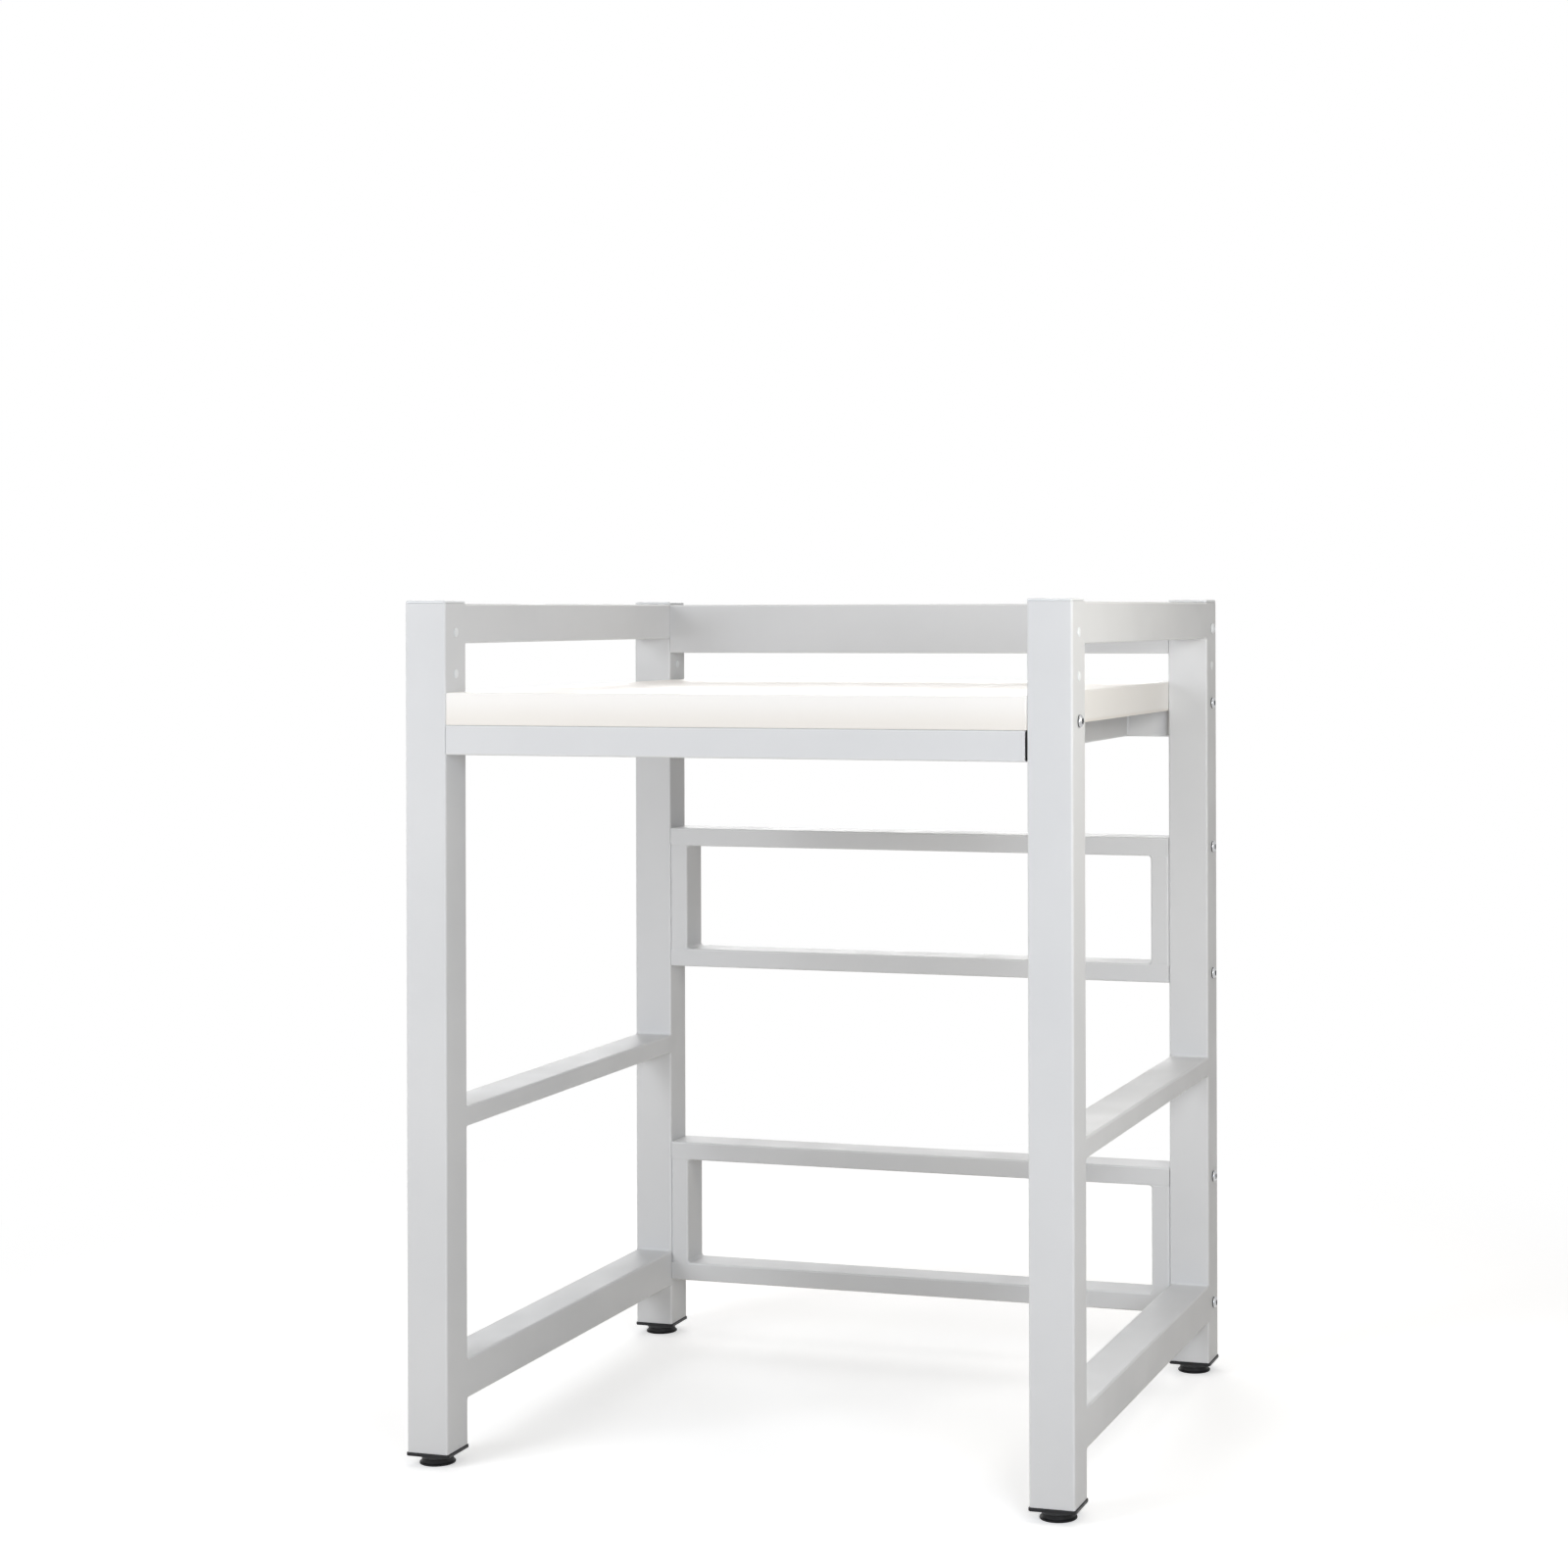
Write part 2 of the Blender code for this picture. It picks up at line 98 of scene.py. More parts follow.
# Plugs in the feet of the uprights
plug_skirt = 50.4 * mm
plug_wall = 2.2 * mm
plug_flange_thickness = 3.7 * mm
plug_flange_corner = 4.6 * mm
plug_edge = 0.6 * mm
plug_floor = 2.5 * mm
plug_bore = 5.3 * mm
plug_bore_chamfer = 0.4 * mm
plug_bore_flare = 0.5 * mm
plug_seat_edge = 0.35 * mm
plug_fins = 3
plug_fin_start = 4 * mm
plug_fin_pitch = 5 * mm
plug_fin_reach = 0.25 * mm
plug_fin_rise = 1.2 * mm
plug_fin_height = 1.5 * mm
plug_taper = 0.6 * mm
boss_radius = 9.8 * mm
boss_height = 20 * mm
boss_fillet = 0.8 * mm
boss_chamfer = 0.4 * mm

# M8 button-head bolts and their nuts
head_radius = 7.2 * mm
head_height = 4.2 * mm
head_rim = 1.1 * mm
head_land = 4.5 * mm
head_land_wear = 0.5
head_edge = 0.2 * mm
# The head's seat and its hex socket carry -1, painted shade where the head meets the face and in the recess
head_shade_drop = 0.3 * mm
head_shade_share = 0.7
socket_flats = 7.0 * mm
socket_lead = 0.2 * mm
socket_rim_wear = 0.8
socket_depth = 2.4 * mm
socket_point = 0.5 * mm
socket_cone = 0.05 * mm
socket_floor_share = 0.9
socket_point_share = 0.1
socket_shade = -1.0
bolt_radius = 4.0 * mm
bolt_pitch = 1.25 * mm
bolt_thread_length = 18 * mm
bolt_thread_depth = 0.62 * mm
bolt_tip = 0.9 * mm
bolt_tip_wear = 0.3
nut_flats = 13 * mm
nut_bore = 4.3 * mm
nut_bore_chamfer = 0.4 * mm
nut_face_radius = 6.1 * mm
nut_chamfer = math.radians(30)

# White plugs in the spare holes
spare_plug_radius = 5.7 * mm
spare_plug_height = 1.7 * mm
spare_plug_rim = 0.35 * mm
spare_plug_rim_wear = 0.3
spare_plug_stem = 4.3 * mm
spare_plug_reach = 6.5 * mm
spare_plug_seat = 0.1 * mm
spare_plug_tip = 0.9 * mm
spare_plug_barb = 1.2 * mm
spare_plug_waist = 0.3 * mm
spare_plug_waist_depth = 2.2 * mm

# Rubber pads: tread, lip, waist, upper tier and the pocket that holds the stud
pad_tread = 0.6 * mm
pad_tread_slope = 0.5 * mm
pad_tread_width = 2.1 * mm
pad_tread_radii = (6.0 * mm, 10.0 * mm, 14.0 * mm)
pad_sole_radius = 17.7 * mm
pad_lip_low_round = 0.8 * mm
pad_lip_high_round = 0.7 * mm
pad_lip_height = 1.5 * mm
pad_waist = ((20.0 * mm, 2.55 * mm), (19.55 * mm, 3.0 * mm), (19.35 * mm, 3.5 * mm), (19.1 * mm, 5.0 * mm))
pad_top_radius = 18.3 * mm
pad_top_round = 0.6 * mm
pocket_mouth = 6.3 * mm
pocket_chamfer = 0.4 * mm
pocket_lip = 1.9 * mm
pocket_radius = 9.3 * mm
pocket_floor = 2.5 * mm

# Studs of the levelling feet
stud_radius = 5.0 * mm
stud_pitch = 1.5 * mm
stud_thread_depth = 0.8 * mm
stud_tip = 1.0 * mm
stud_tip_wear = 0.4
stud_gap = 0.3 * mm
stud_root = 0.4 * mm
stud_flange_radius = 8.4 * mm
stud_flange_round = 0.6 * mm
stud_flange_side = 1.9 * mm
stud_flange_height = 2.5 * mm
stud_neck_radius = 6.0 * mm
collar_bulge = 0.15 * mm
collar_bulge_shares = (0.25, 0.5, 0.75)
collar_low_round = 0.6 * mm
collar_high_round = 1.0 * mm
collar_dish_radius = 9.0 * mm
collar_dish_slope = 0.4 * mm
collar_dish_depth = 0.3 * mm
collar_thread_drop = 0.1 * mm

# Welds
fillet_leg = 2.4 * mm
frame_fillet_leg = 3.6 * mm
ripple_pitch = 2.2 * mm
ripple_height = 0.12 * mm
weld_step = 1.1 * mm
fillet_shares = (
    (-0.22, 0.75), (0.01, 1.0), (0.13, 0.66), (0.37, 0.37), (0.66, 0.13), (1.0, 0.01), (0.75, -0.22))
flush_welds_mm = {
    "ground": (
        (-0.8, 1.0), (0.02, 1.5), (0.05, 0.7), (0.06, 0.0), (0.05, -0.9), (0.0, -3.2), (-0.9, -3.0)),
    "seam": (
        (-0.8, 1.0), (0.0, 1.3), (-0.05, 0.6), (-0.32, 0.15), (-0.08, -0.5), (0.0, -3.2), (-0.9, -3.0)),
    "butt": (
        (-0.8, 1.0), (0.0, 1.2), (0.02, 0.6), (0.02, 0.15), (0.01, -0.3), (0.0, -0.9), (-0.8, -0.9)),
}

# Points round the outlines
corner_steps = 8
round_points = 72
bolt_points = 60
plain_points = 48
thread_steps = 8
plug_edge_steps = 4
pad_arc_steps = 5
stud_arc_steps = 4
collar_arc_steps = 6
head_steps = 10
nut_steps = 6
dome_steps = 8

# How much painted highlight an outline's rounded corners get, and how worn a thread's crests are
corner_highlight = 0.5
thread_wear = 0.6
thread_crest = 1.35
thread_slope = 3.2

# Angles past which edges stay sharp
sharp_angle = math.radians(32)
bolt_sharp_angle = math.radians(38)
stud_sharp_angle = math.radians(48)
weld_sharp_angle = math.radians(50)

corners = ((1, 1), (-1, 1), (-1, -1), (1, -1))
sides = (("left", -1), ("right", 1))
ends = (("front", -1), ("rear", 1))
legs = [(f"{end}_{side}", sx, sy) for side, sx in sides for end, sy in ends]

# Floor: its grey as light bounces off it and as it is seen, its glow, and where its shadows fade out
floor_radius = 14
floor_points = 96
floor_shade = (0.80, 0.76, 0.70)
floor_seen_shade = (0.80, 0.80, 0.80)
floor_glow = 0.47
white_seen = (1.0, 1.0, 1.0)
floor_fade = (1.0, 1.9)

# Colours of the finishes' blends; each surface's own two are with the materials
coat_gloss_spread = 0.06
dust_on_plastic = (0.30, 0.29, 0.27)
dust_on_rubber = (0.22, 0.21, 0.20)
rubber_blacks = ((0.008, 0.008, 0.009), (0.013, 0.013, 0.014))
stud_blacks = ((0.012, 0.0125, 0.014), (0.020, 0.021, 0.023))
stud_worn = (0.16, 0.165, 0.18)
zinc_greys = ((0.40, 0.41, 0.43), (0.52, 0.525, 0.535))
zinc_yellow = (0.50, 0.48, 0.43)
zinc_worn = (0.72, 0.73, 0.74)
# Zinc's painted shade colour, for the sockets and round the heads' seats
zinc_shade = (0.035, 0.035, 0.04)

# Camera, fitted to the edges of the tubes in the photograph
camera_place = (1.3012, -3.5540, 1.0295)
camera_turn = 0.2937
camera_roll = 0.0028
camera_lens_mm = 67.516
camera_sensor_mm = 36
camera_shift = (-0.14, -0.11)
camera_reach = 60

# Studio: soft fill, and each lamp's name, place, aim, width, height, power and tint
world_fill = 0.15
lamps = (
    ("near_right", (1.5, -2.0, 1.1), (0.3, -0.35, 0.65), 0.9, 1.2, 23.5, (0.895, 0.935, 1.0)),
    ("near_left", (-1.4, -1.9, 1.3), (-0.4, -0.35, 0.8), 1.0, 1.4, 25, (0.97, 0.98, 1.0)),
    ("right_side", (1.15, -0.45, 1.2), (0.415, -0.3, 1.0), 0.5, 0.5, 3.5, (1.0, 0.95, 0.84)),
    ("top", (0.2, 0.2, 3.2), (0, 0, 0.5), 2.4, 2.4, 27, (1.0, 0.945, 0.89)),
    ("back", (-1.2, 3.0, 2.0), (0, 0, 0.6), 2.0, 1.6, 42, (1.0, 1.0, 1.0)),
)


# Materials

class Graph:
    """Short calls for building one material's nodes."""

    def __init__(self, name):
        self.material = bpy.data.materials.new(name)
        self.material.use_nodes = True
        self.tree = self.material.node_tree
        self.shader = self.tree.nodes["Principled BSDF"]
        place = self.tree.nodes.new("ShaderNodeTexCoord")
        self.place = place.outputs["Object"]

    def link(self, value, socket):
        """Wire an output to a socket, or set the socket to a plain value."""
        if isinstance(value, bpy.types.NodeSocket):
            self.tree.links.new(value, socket)
        elif value is not None:
            socket.default_value = value

    def noise(self, scale, detail=2.0, roughness=0.5, stretch=None, distortion=0.0):
        """Noise between 0 and 1 over the object's own coordinates."""
        node = self.tree.nodes.new("ShaderNodeTexNoise")
        node.inputs["Scale"].default_value = scale
        node.inputs["Detail"].default_value = detail
        node.inputs["Roughness"].default_value = roughness
        node.inputs["Distortion"].default_value = distortion
        place = self.place
        if stretch:
            mapping = self.tree.nodes.new("ShaderNodeMapping")
            mapping.inputs["Scale"].default_value = stretch
            self.tree.links.new(place, mapping.inputs["Vector"])
            place = mapping.outputs["Vector"]
        self.tree.links.new(place, node.inputs["Vector"])
        return node.outputs["Fac"]

    def attribute(self, name):
        """A value stored on the mesh's points."""
        node = self.tree.nodes.new("ShaderNodeAttribute")
        node.attribute_name = name
        return node.outputs["Fac"]

    def span(self, value, low, high, to_low=0.0, to_high=1.0):
        """Map low..high smoothly to to_low..to_high."""
        node = self.tree.nodes.new("ShaderNodeMapRange")
        node.interpolation_type = "SMOOTHSTEP"
        for key, setting in zip(("From Min", "From Max", "To Min", "To Max"), (low, high, to_low, to_high)):
            node.inputs[key].default_value = setting
        self.link(value, node.inputs["Value"])
        return node.outputs["Result"]

    def mix(self, factor, a, b):
        """Blend two colours."""
        node = self.tree.nodes.new("ShaderNodeMix")
        node.data_type = "RGBA"
        self.link(factor, node.inputs["Factor"])
        self.link(colour(a), node.inputs["A"])
        self.link(colour(b), node.inputs["B"])
        return node.outputs["Result"]

    def bump(self, height, distance, strength=1.0, below=None):
        node = self.tree.nodes.new("ShaderNodeBump")
        node.inputs["Distance"].default_value = distance
        node.inputs["Strength"].default_value = strength
        self.link(height, node.inputs["Height"])
        if below is not None:
            self.tree.links.new(below, node.inputs["Normal"])
        return node.outputs["Normal"]

    def finish(self, base, roughness, normal, metallic=0.0, specular=0.5):
        self.link(colour(base), self.shader.inputs["Base Color"])
        self.link(roughness, self.shader.inputs["Roughness"])
        self.link(normal, self.shader.inputs["Normal"])
        self.shader.inputs["Metallic"].default_value = metallic
        self.shader.inputs["Specular IOR Level"].default_value = specular
        return self.material


def colour(value):
    """A plain (r, g, b) gets its alpha; anything else passes through."""
    return (*value, 1.0) if isinstance(value, tuple) and len(value) == 3 else value


def coat_material(name, body, deeper, edge, roughness, low=None):
    """Powder coat: faint clouding, orange peel, a painted highlight on corners and edges, and low painted
    as shade where the edge value is -1.
    """
    g = Graph(name)
    cloud = g.span(g.noise(5.5, 3.0), 0.3, 0.7)
    grain = g.span(g.noise(1100, 1.0), 0.35, 0.65, 0.0, 0.10)
    base = g.mix(cloud, body, deeper)
    base = g.mix(grain, base, deeper)
    # Painted highlight: corners and edges lighten towards the edge colour
    base = g.mix(g.span(g.attribute("edge"), 0.05, 0.9, 0.0, 0.4), base, edge)
    if low:
        # Painted shade: where the edge value falls to -1 the colour turns to low
        base = g.mix(g.span(g.attribute("edge"), -1.0, 0.0, 1.0, 0.0), base, low)
    rough = g.span(g.noise(16, 3.0), 0.3, 0.7, roughness - coat_gloss_spread, roughness + coat_gloss_spread)
    wave = g.bump(g.noise(38, 1.0), 0.00022, 0.45)
    peel = g.bump(g.noise(520, 1.5, 0.45), 0.00006, 0.8, wave)
    return g.finish(base, rough, peel, specular=0.16)


def plastic_material(name, body, deeper, roughness, grain_scale, dust=0.0):
    """Moulded plastic with a fine spark-eroded grain."""
    g = Graph(name)
    base = g.mix(g.span(g.noise(60, 2.0), 0.3, 0.7), body, deeper)
    if dust:
        base = g.mix(g.span(g.noise(420, 4.0), 0.58, 0.78, 0.0, dust), base, dust_on_plastic)
    rough = g.span(g.noise(140, 2.0), 0.3, 0.7, roughness - 0.06, roughness + 0.07)
    grain = g.bump(g.noise(grain_scale, 2.0), 0.00004, 0.6)
    return g.finish(base, rough, grain, specular=0.28)


def rubber_material():
    """Black rubber, slightly dusty, with a soft uneven sheen."""
    g = Graph("foot_rubber")
    base = g.mix(g.span(g.noise(90, 3.0), 0.35, 0.7), *rubber_blacks)
    base = g.mix(g.span(g.noise(700, 5.0, 0.7), 0.60, 0.80, 0.0, 0.10), base, dust_on_rubber)
    rough = g.span(g.noise(180, 2.0), 0.3, 0.7, 0.46, 0.62)
    grain = g.bump(g.noise(1500, 2.0), 0.00005, 0.7)
    return g.finish(base, rough, grain, specular=0.25)


def stud_material():
    """Blackened steel, worn a little brighter where it catches."""
    g = Graph("stud_steel")
    base = g.mix(g.span(g.noise(120, 3.0), 0.3, 0.7), *stud_blacks)
    base = g.mix(g.span(g.attribute("edge"), 0.1, 1.0, 0.0, 0.35), base, stud_worn)
    rough = g.span(g.noise(240, 3.0), 0.3, 0.7, 0.26, 0.40)
    grain = g.bump(g.noise(900, 2.0), 0.00003, 0.5)
    return g.finish(base, rough, grain, metallic=0.3, specular=0.6)


def zinc_material():
    """Bright zinc plate: cool bloom, faint yellow patches, fine rub marks, and painted shade in the sockets
    and round the heads' seats.
    """
    g = Graph("zinc_plate")
    bloom = g.mix(g.span(g.noise(210, 3.0), 0.35, 0.65), *zinc_greys)
    bloom = g.mix(g.span(g.noise(130, 2.0, distortion=0.6), 0.55, 0.75, 0.0, 0.3), bloom, zinc_yellow)
    bloom = g.mix(g.span(g.attribute("edge"), 0.1, 1.0, 0.0, 0.5), bloom, zinc_worn)
    # Painted shade: edge values towards -1 turn the zinc dark
    bloom = g.mix(g.span(g.attribute("edge"), -0.9, -0.1, 1.0, 0.0), bloom, zinc_shade)
    rough = g.span(g.noise(330, 4.0), 0.3, 0.7, 0.17, 0.30)
    rub = g.bump(g.noise(500, 3.0, stretch=(1.0, 1.0, 6.0)), 0.00003, 0.5)
    return g.finish(bloom, rough, rub, metallic=1.0, specular=0.5)


materials = {
    # Each coat's third colour is its painted corner highlight; the deck's low colour is painted shade at
    # the bottom of its flanges
    "powder_coat": coat_material(
        "powder_coat", (0.700, 0.708, 0.718), (0.672, 0.681, 0.693), (0.86, 0.87, 0.88), 0.46),
    "deck_coat": coat_material(
        "deck_coat", (0.935, 0.920, 0.895), (0.920, 0.902, 0.874), (0.96, 0.95, 0.93), 0.42,
        low=(0.84, 0.808, 0.762)),
    "white_plastic": plastic_material(
        "white_plastic", (0.80, 0.82, 0.835), (0.775, 0.797, 0.815), 0.40, 1300),
    "black_plastic": plastic_material(
        "black_plastic", (0.008, 0.008, 0.009), (0.013, 0.013, 0.015), 0.42, 1400, dust=0.04),
    "foot_rubber": rubber_material(),
    "stud_steel": stud_material(),
    "zinc_plate": zinc_material(),
    "painted_bolt": coat_material(
        "painted_bolt", (0.78, 0.80, 0.81), (0.745, 0.768, 0.782), (0.88, 0.89, 0.90), 0.38),
}


# Mesh tools

def new_bmesh():
    """An empty bmesh whose points carry an edge value: up to 1 on a lighter edge (painted highlight on
    coats, wear on zinc and studs), -1 for painted shade.
    """
    bm = bmesh.new()
    bm.verts.layers.float.new("edge")
    return bm


def loft(bm, rings, closed=False, wear_and_light=None):
    """Skin a row of outlines; closed joins the last to the first, otherwise both ends get a face."""
    layer = bm.verts.layers.float["edge"]
    rows = []
    for number, ring in enumerate(rings):
        row = [bm.verts.new(point) for point in ring]
        if wear_and_light and wear_and_light[number]:
            values = wear_and_light[number]
            for i, vert in enumerate(row):
                vert[layer] = values[i] if isinstance(values, list) else values
        rows.append(row)
    pairs = list(zip(rows, rows[1:]))
    if closed:
        pairs.append((rows[-1], rows[0]))
    for low, high in pairs:
        for i in range(len(low)):
            j = (i + 1) % len(low)
            bm.faces.new((low[i], low[j], high[j], high[i]))
    if not closed:
        bm.faces.new(list(reversed(rows[0])))
        bm.faces.new(rows[-1])


def mesh_from(bm, name, sharp=sharp_angle):
    """Turn a bmesh into a mesh with outward faces and smooth round sides."""
    bmesh.ops.recalc_face_normals(bm, faces=bm.faces)
    mesh = bpy.data.meshes.new(name)
    bm.to_mesh(mesh)
    bm.free()
    mesh.shade_smooth()
    mesh.set_sharp_from_angle(angle=sharp)
    return mesh


def add_piece(name, mesh, slot, body="stand", nodes=(), place=None):
    """Put a mesh in the scene as a piece that rides on a body and stands for its CAD nodes."""
    piece = bpy.data.objects.new(name, mesh)
    bpy.context.scene.collection.objects.link(piece)
    if place is not None:
        piece.matrix_world = place
    if not mesh.materials:
        mesh.materials.append(materials[slot])
    flats = piece.modifiers.new("flats", "WEIGHTED_NORMAL")
    flats.keep_sharp = True
    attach(piece, body)
    if nodes:
        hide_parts(*nodes)
    return piece


def along(axis, u, v, w):
    """A point of a section (u, v) at w along an axis."""
    return {"x": (w, u, v), "y": (u, w, v), "z": (u, v, w)}[axis]


def section_size(low, high, axis):
    """Size and middle of a box across an axis, and where it runs from and to."""
    u, v, w = {"x": (1, 2, 0), "y": (0, 2, 1), "z": (0, 1, 2)}[axis]
    size = (high[u] - low[u], high[v] - low[v])
    middle = ((high[u] + low[u]) / 2, (high[v] + low[v]) / 2)
    return size, middle, low[w], high[w]


def rounded_outline(width, depth, corner, steps=corner_steps):
    """Points of a rectangle with round corners, and how far round its corner each lies."""
    points, turns = [], []
    for quarter, (side_u, side_v) in enumerate(corners):
        for step in range(steps + 1):
            angle = quarter_turn * (quarter + step / steps)
            u = side_u * (width / 2 - corner) + corner * math.cos(angle)
            v = side_v * (depth / 2 - corner) + corner * math.sin(angle)
            points.append((u, v))
            turns.append(math.sin(math.pi * step / steps))
    return points, turns


def placed(outline, axis, middle, w):
    """An outline's points in the world, at w along the axis."""
    return [along(axis, middle[0] + u, middle[1] + v, w) for u, v in outline]


def circle(radius, count):
    turn = full_turn / count
    angles = [(i + 0.5) * turn for i in range(count)]
    return [(radius * math.cos(angle), radius * math.sin(angle)) for angle in angles]


def hexagon(across_flats, count, limit=None):
    """Points along a hexagon in step with circle; limit is a radius that no point passes."""
    points = []
    turn = full_turn / count
    sector = full_turn / 6
    for i in range(count):
        angle = i * turn
        reach = across_flats / 2 / math.cos((angle % sector) - sector / 2)
        if limit is not None:
            reach = min(reach, limit)
        points.append((reach * math.cos(angle + turn / 2), reach * math.sin(angle + turn / 2)))
    return points


def at_height(outline, z):
    return [(u, v, z) for u, v in outline]


def turned(profile, count):
    """Rings and edge values of a profile of (radius, height) or (radius, height, edge value) about Z."""
    rings = [at_height(circle(point[0], count), point[1]) for point in profile]
    wear_and_light = [point[2] if len(point) > 2 else 0.0 for point in profile]
    return rings, wear_and_light


def lathe(bm, profile, count):
    """Turn a profile about Z."""
    rings, wear_and_light = turned(profile, count)
    loft(bm, rings, wear_and_light=wear_and_light)


def arc(centre_r, centre_z, radius, start, stop, steps, edge=0.0):
    """Profile points along an arc, its angles in degrees from outwards towards up."""
    points = []
    for step in range(steps + 1):
        angle = math.radians(start + (stop - start) * step / steps)
        worn_and_lit = edge * math.sin(math.pi * step / steps)
        points.append((centre_r + radius * math.cos(angle), centre_z + radius * math.sin(angle), worn_and_lit))
    return points


def thread_rings(outer, depth, pitch, bottom, top, count):
    """Rings of a right-hand thread about Z, fading out over its first and last turns."""
    rings, wear_and_light = [], []
    steps = max(2, round((top - bottom) / pitch * thread_steps))
    for step in range(steps + 1):
        z = bottom + (top - bottom) * step / steps
        fade = min(1.0, (z - bottom) / pitch, (top - z) / pitch)
        ring, worn_and_lit = [], []
        for i in range(count):
            share = (i + 0.5) / count
            phase = (z / pitch - share) % 1.0
            crest = min(1.0, max(0.0, thread_crest - thread_slope * abs(phase - 0.5)))
            radius = outer - depth * fade * (1.0 - crest)
            angle = full_turn * share
            ring.append((radius * math.cos(angle), radius * math.sin(angle), z))
            worn_and_lit.append(thread_wear * crest * fade)
        rings.append(ring)
        wear_and_light.append(worn_and_lit)
    return rings, wear_and_light


def cut_holes(piece, drills):
    """Cut drilled holes out of a piece and keep the result as its mesh."""
    cutter = bpy.data.objects.new("drills", mesh_from(drills, "drills"))
    bpy.context.scene.collection.objects.link(cutter)
    cut = piece.modifiers.new("drills", "BOOLEAN")
    cut.operation = "DIFFERENCE"
    cut.solver = "EXACT"
    cut.object = cutter
    flats = piece.modifiers["flats"]
    flats.show_viewport = False
    bpy.context.view_layer.update()
    solid = piece.evaluated_get(bpy.context.evaluated_depsgraph_get())
    mesh = bpy.data.meshes.new_from_object(solid)
    piece.modifiers.remove(cut)
    flats.show_viewport = True
    mesh.name = piece.data.name
    piece.data = mesh
    mesh.shade_smooth()
    mesh.set_sharp_from_angle(angle=sharp_angle)
    bpy.data.objects.remove(cutter)


def drill(bm, x_low, x_high, y, z):
    """One drill along X."""
    outline = circle(hole_radius, plain_points)
    loft(bm, [[(x, y + u, z + v) for u, v in outline] for x in (x_low, x_high)])


# Tubes and sheet

def tube_piece(node, axis, plates=False, reach=0.0):
    """Rectangular tube in place of a node, its cut ends broken; plates closes them with threaded plates."""
    low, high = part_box(node)
    (width, depth), middle, start, stop = section_size(low, high, axis)
    start -= reach
    stop += reach
    rings, wear_and_light = [], []

    def ring(inset, corner, w, edge=True):
        outline, turns = rounded_outline(width - 2 * inset, depth - 2 * inset, corner)
        rings.append(placed(outline, axis, middle, w))
        # Outer outlines carry their corners' share, which the coat paints as highlight
        wear_and_light.append(turns if edge else None)

    def bore_ring(w):
        rings.append(placed(circle(plate_bore, 4 * (corner_steps + 1)), axis, middle, w))
        wear_and_light.append(None)

    ring(cut_edge, tube_corner - cut_edge, start)
    ring(0, tube_corner, start + cut_edge)
    ring(0, tube_corner, stop - cut_edge)
    ring(cut_edge, tube_corner - cut_edge, stop)
    if plates:
        bore_ring(stop)
        bore_ring(stop - end_plate)
        ring(tube_wall, tube_inner_corner, stop - end_plate, False)
        ring(tube_wall, tube_inner_corner, start + end_plate, False)
        bore_ring(start + end_plate)
        bore_ring(start)
    else:
        ring(tube_wall, tube_inner_corner, stop, False)
        ring(tube_wall, tube_inner_corner, start, False)
    bm = new_bmesh()
    loft(bm, rings, closed=True, wear_and_light=wear_and_light)
    return add_piece(f"visual_{node}", mesh_from(bm, node), "powder_coat", nodes=[node])


def box_middle(node):
    low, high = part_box(node)
    return (low + high) / 2


def add_uprights():
    """Uprights with their cross-drilled holes."""
    for leg, _, sy in legs:
        piece = tube_piece(f"upright_{leg}", "z")
        low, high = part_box(f"upright_{leg}")
        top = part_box(f"top_cap_{leg}")[1].z
        heights = [top - upper_hole_drop, top - upper_hole_drop - upper_hole_pitch]
        heights.append(box_middle(f"shelf_bolt_{leg}").z)
        if sy > 0:
            side = leg.split("_")[1]
            heights += [box_middle(f"{part}_frame_{bar}_bolt_{side}").z
                        for part in ("lower", "upper") for bar in ("bottom", "top")]
        drills = new_bmesh()
        for height in heights:
            drill(drills, low.x - drill_overrun, high.x + drill_overrun, (low.y + high.y) / 2, height)
        cut_holes(piece, drills)


def add_tubes():
    """Rails, beams, ribs and the rear ties."""
    for side, _ in sides:
        for rail in ("bottom_rail", "middle_rail", "guard_rail", "support_rail"):
            tube_piece(f"{rail}_{side}", "y")
        for part in ("lower", "upper"):
            tube_piece(f"{part}_frame_post_{side}", "z")
    for end, _ in ends:
        tube_piece(f"shelf_beam_{end}", "x")
        tube_piece(f"deck_rib_{end}", "x")
    for part in ("lower", "upper"):
        for bar in ("bottom", "top"):
            tube_piece(f"{part}_frame_{bar}_bar", "x", plates=True)
    tube_piece("top_crossbar", "x", plates=True, reach=crossbar_reach)


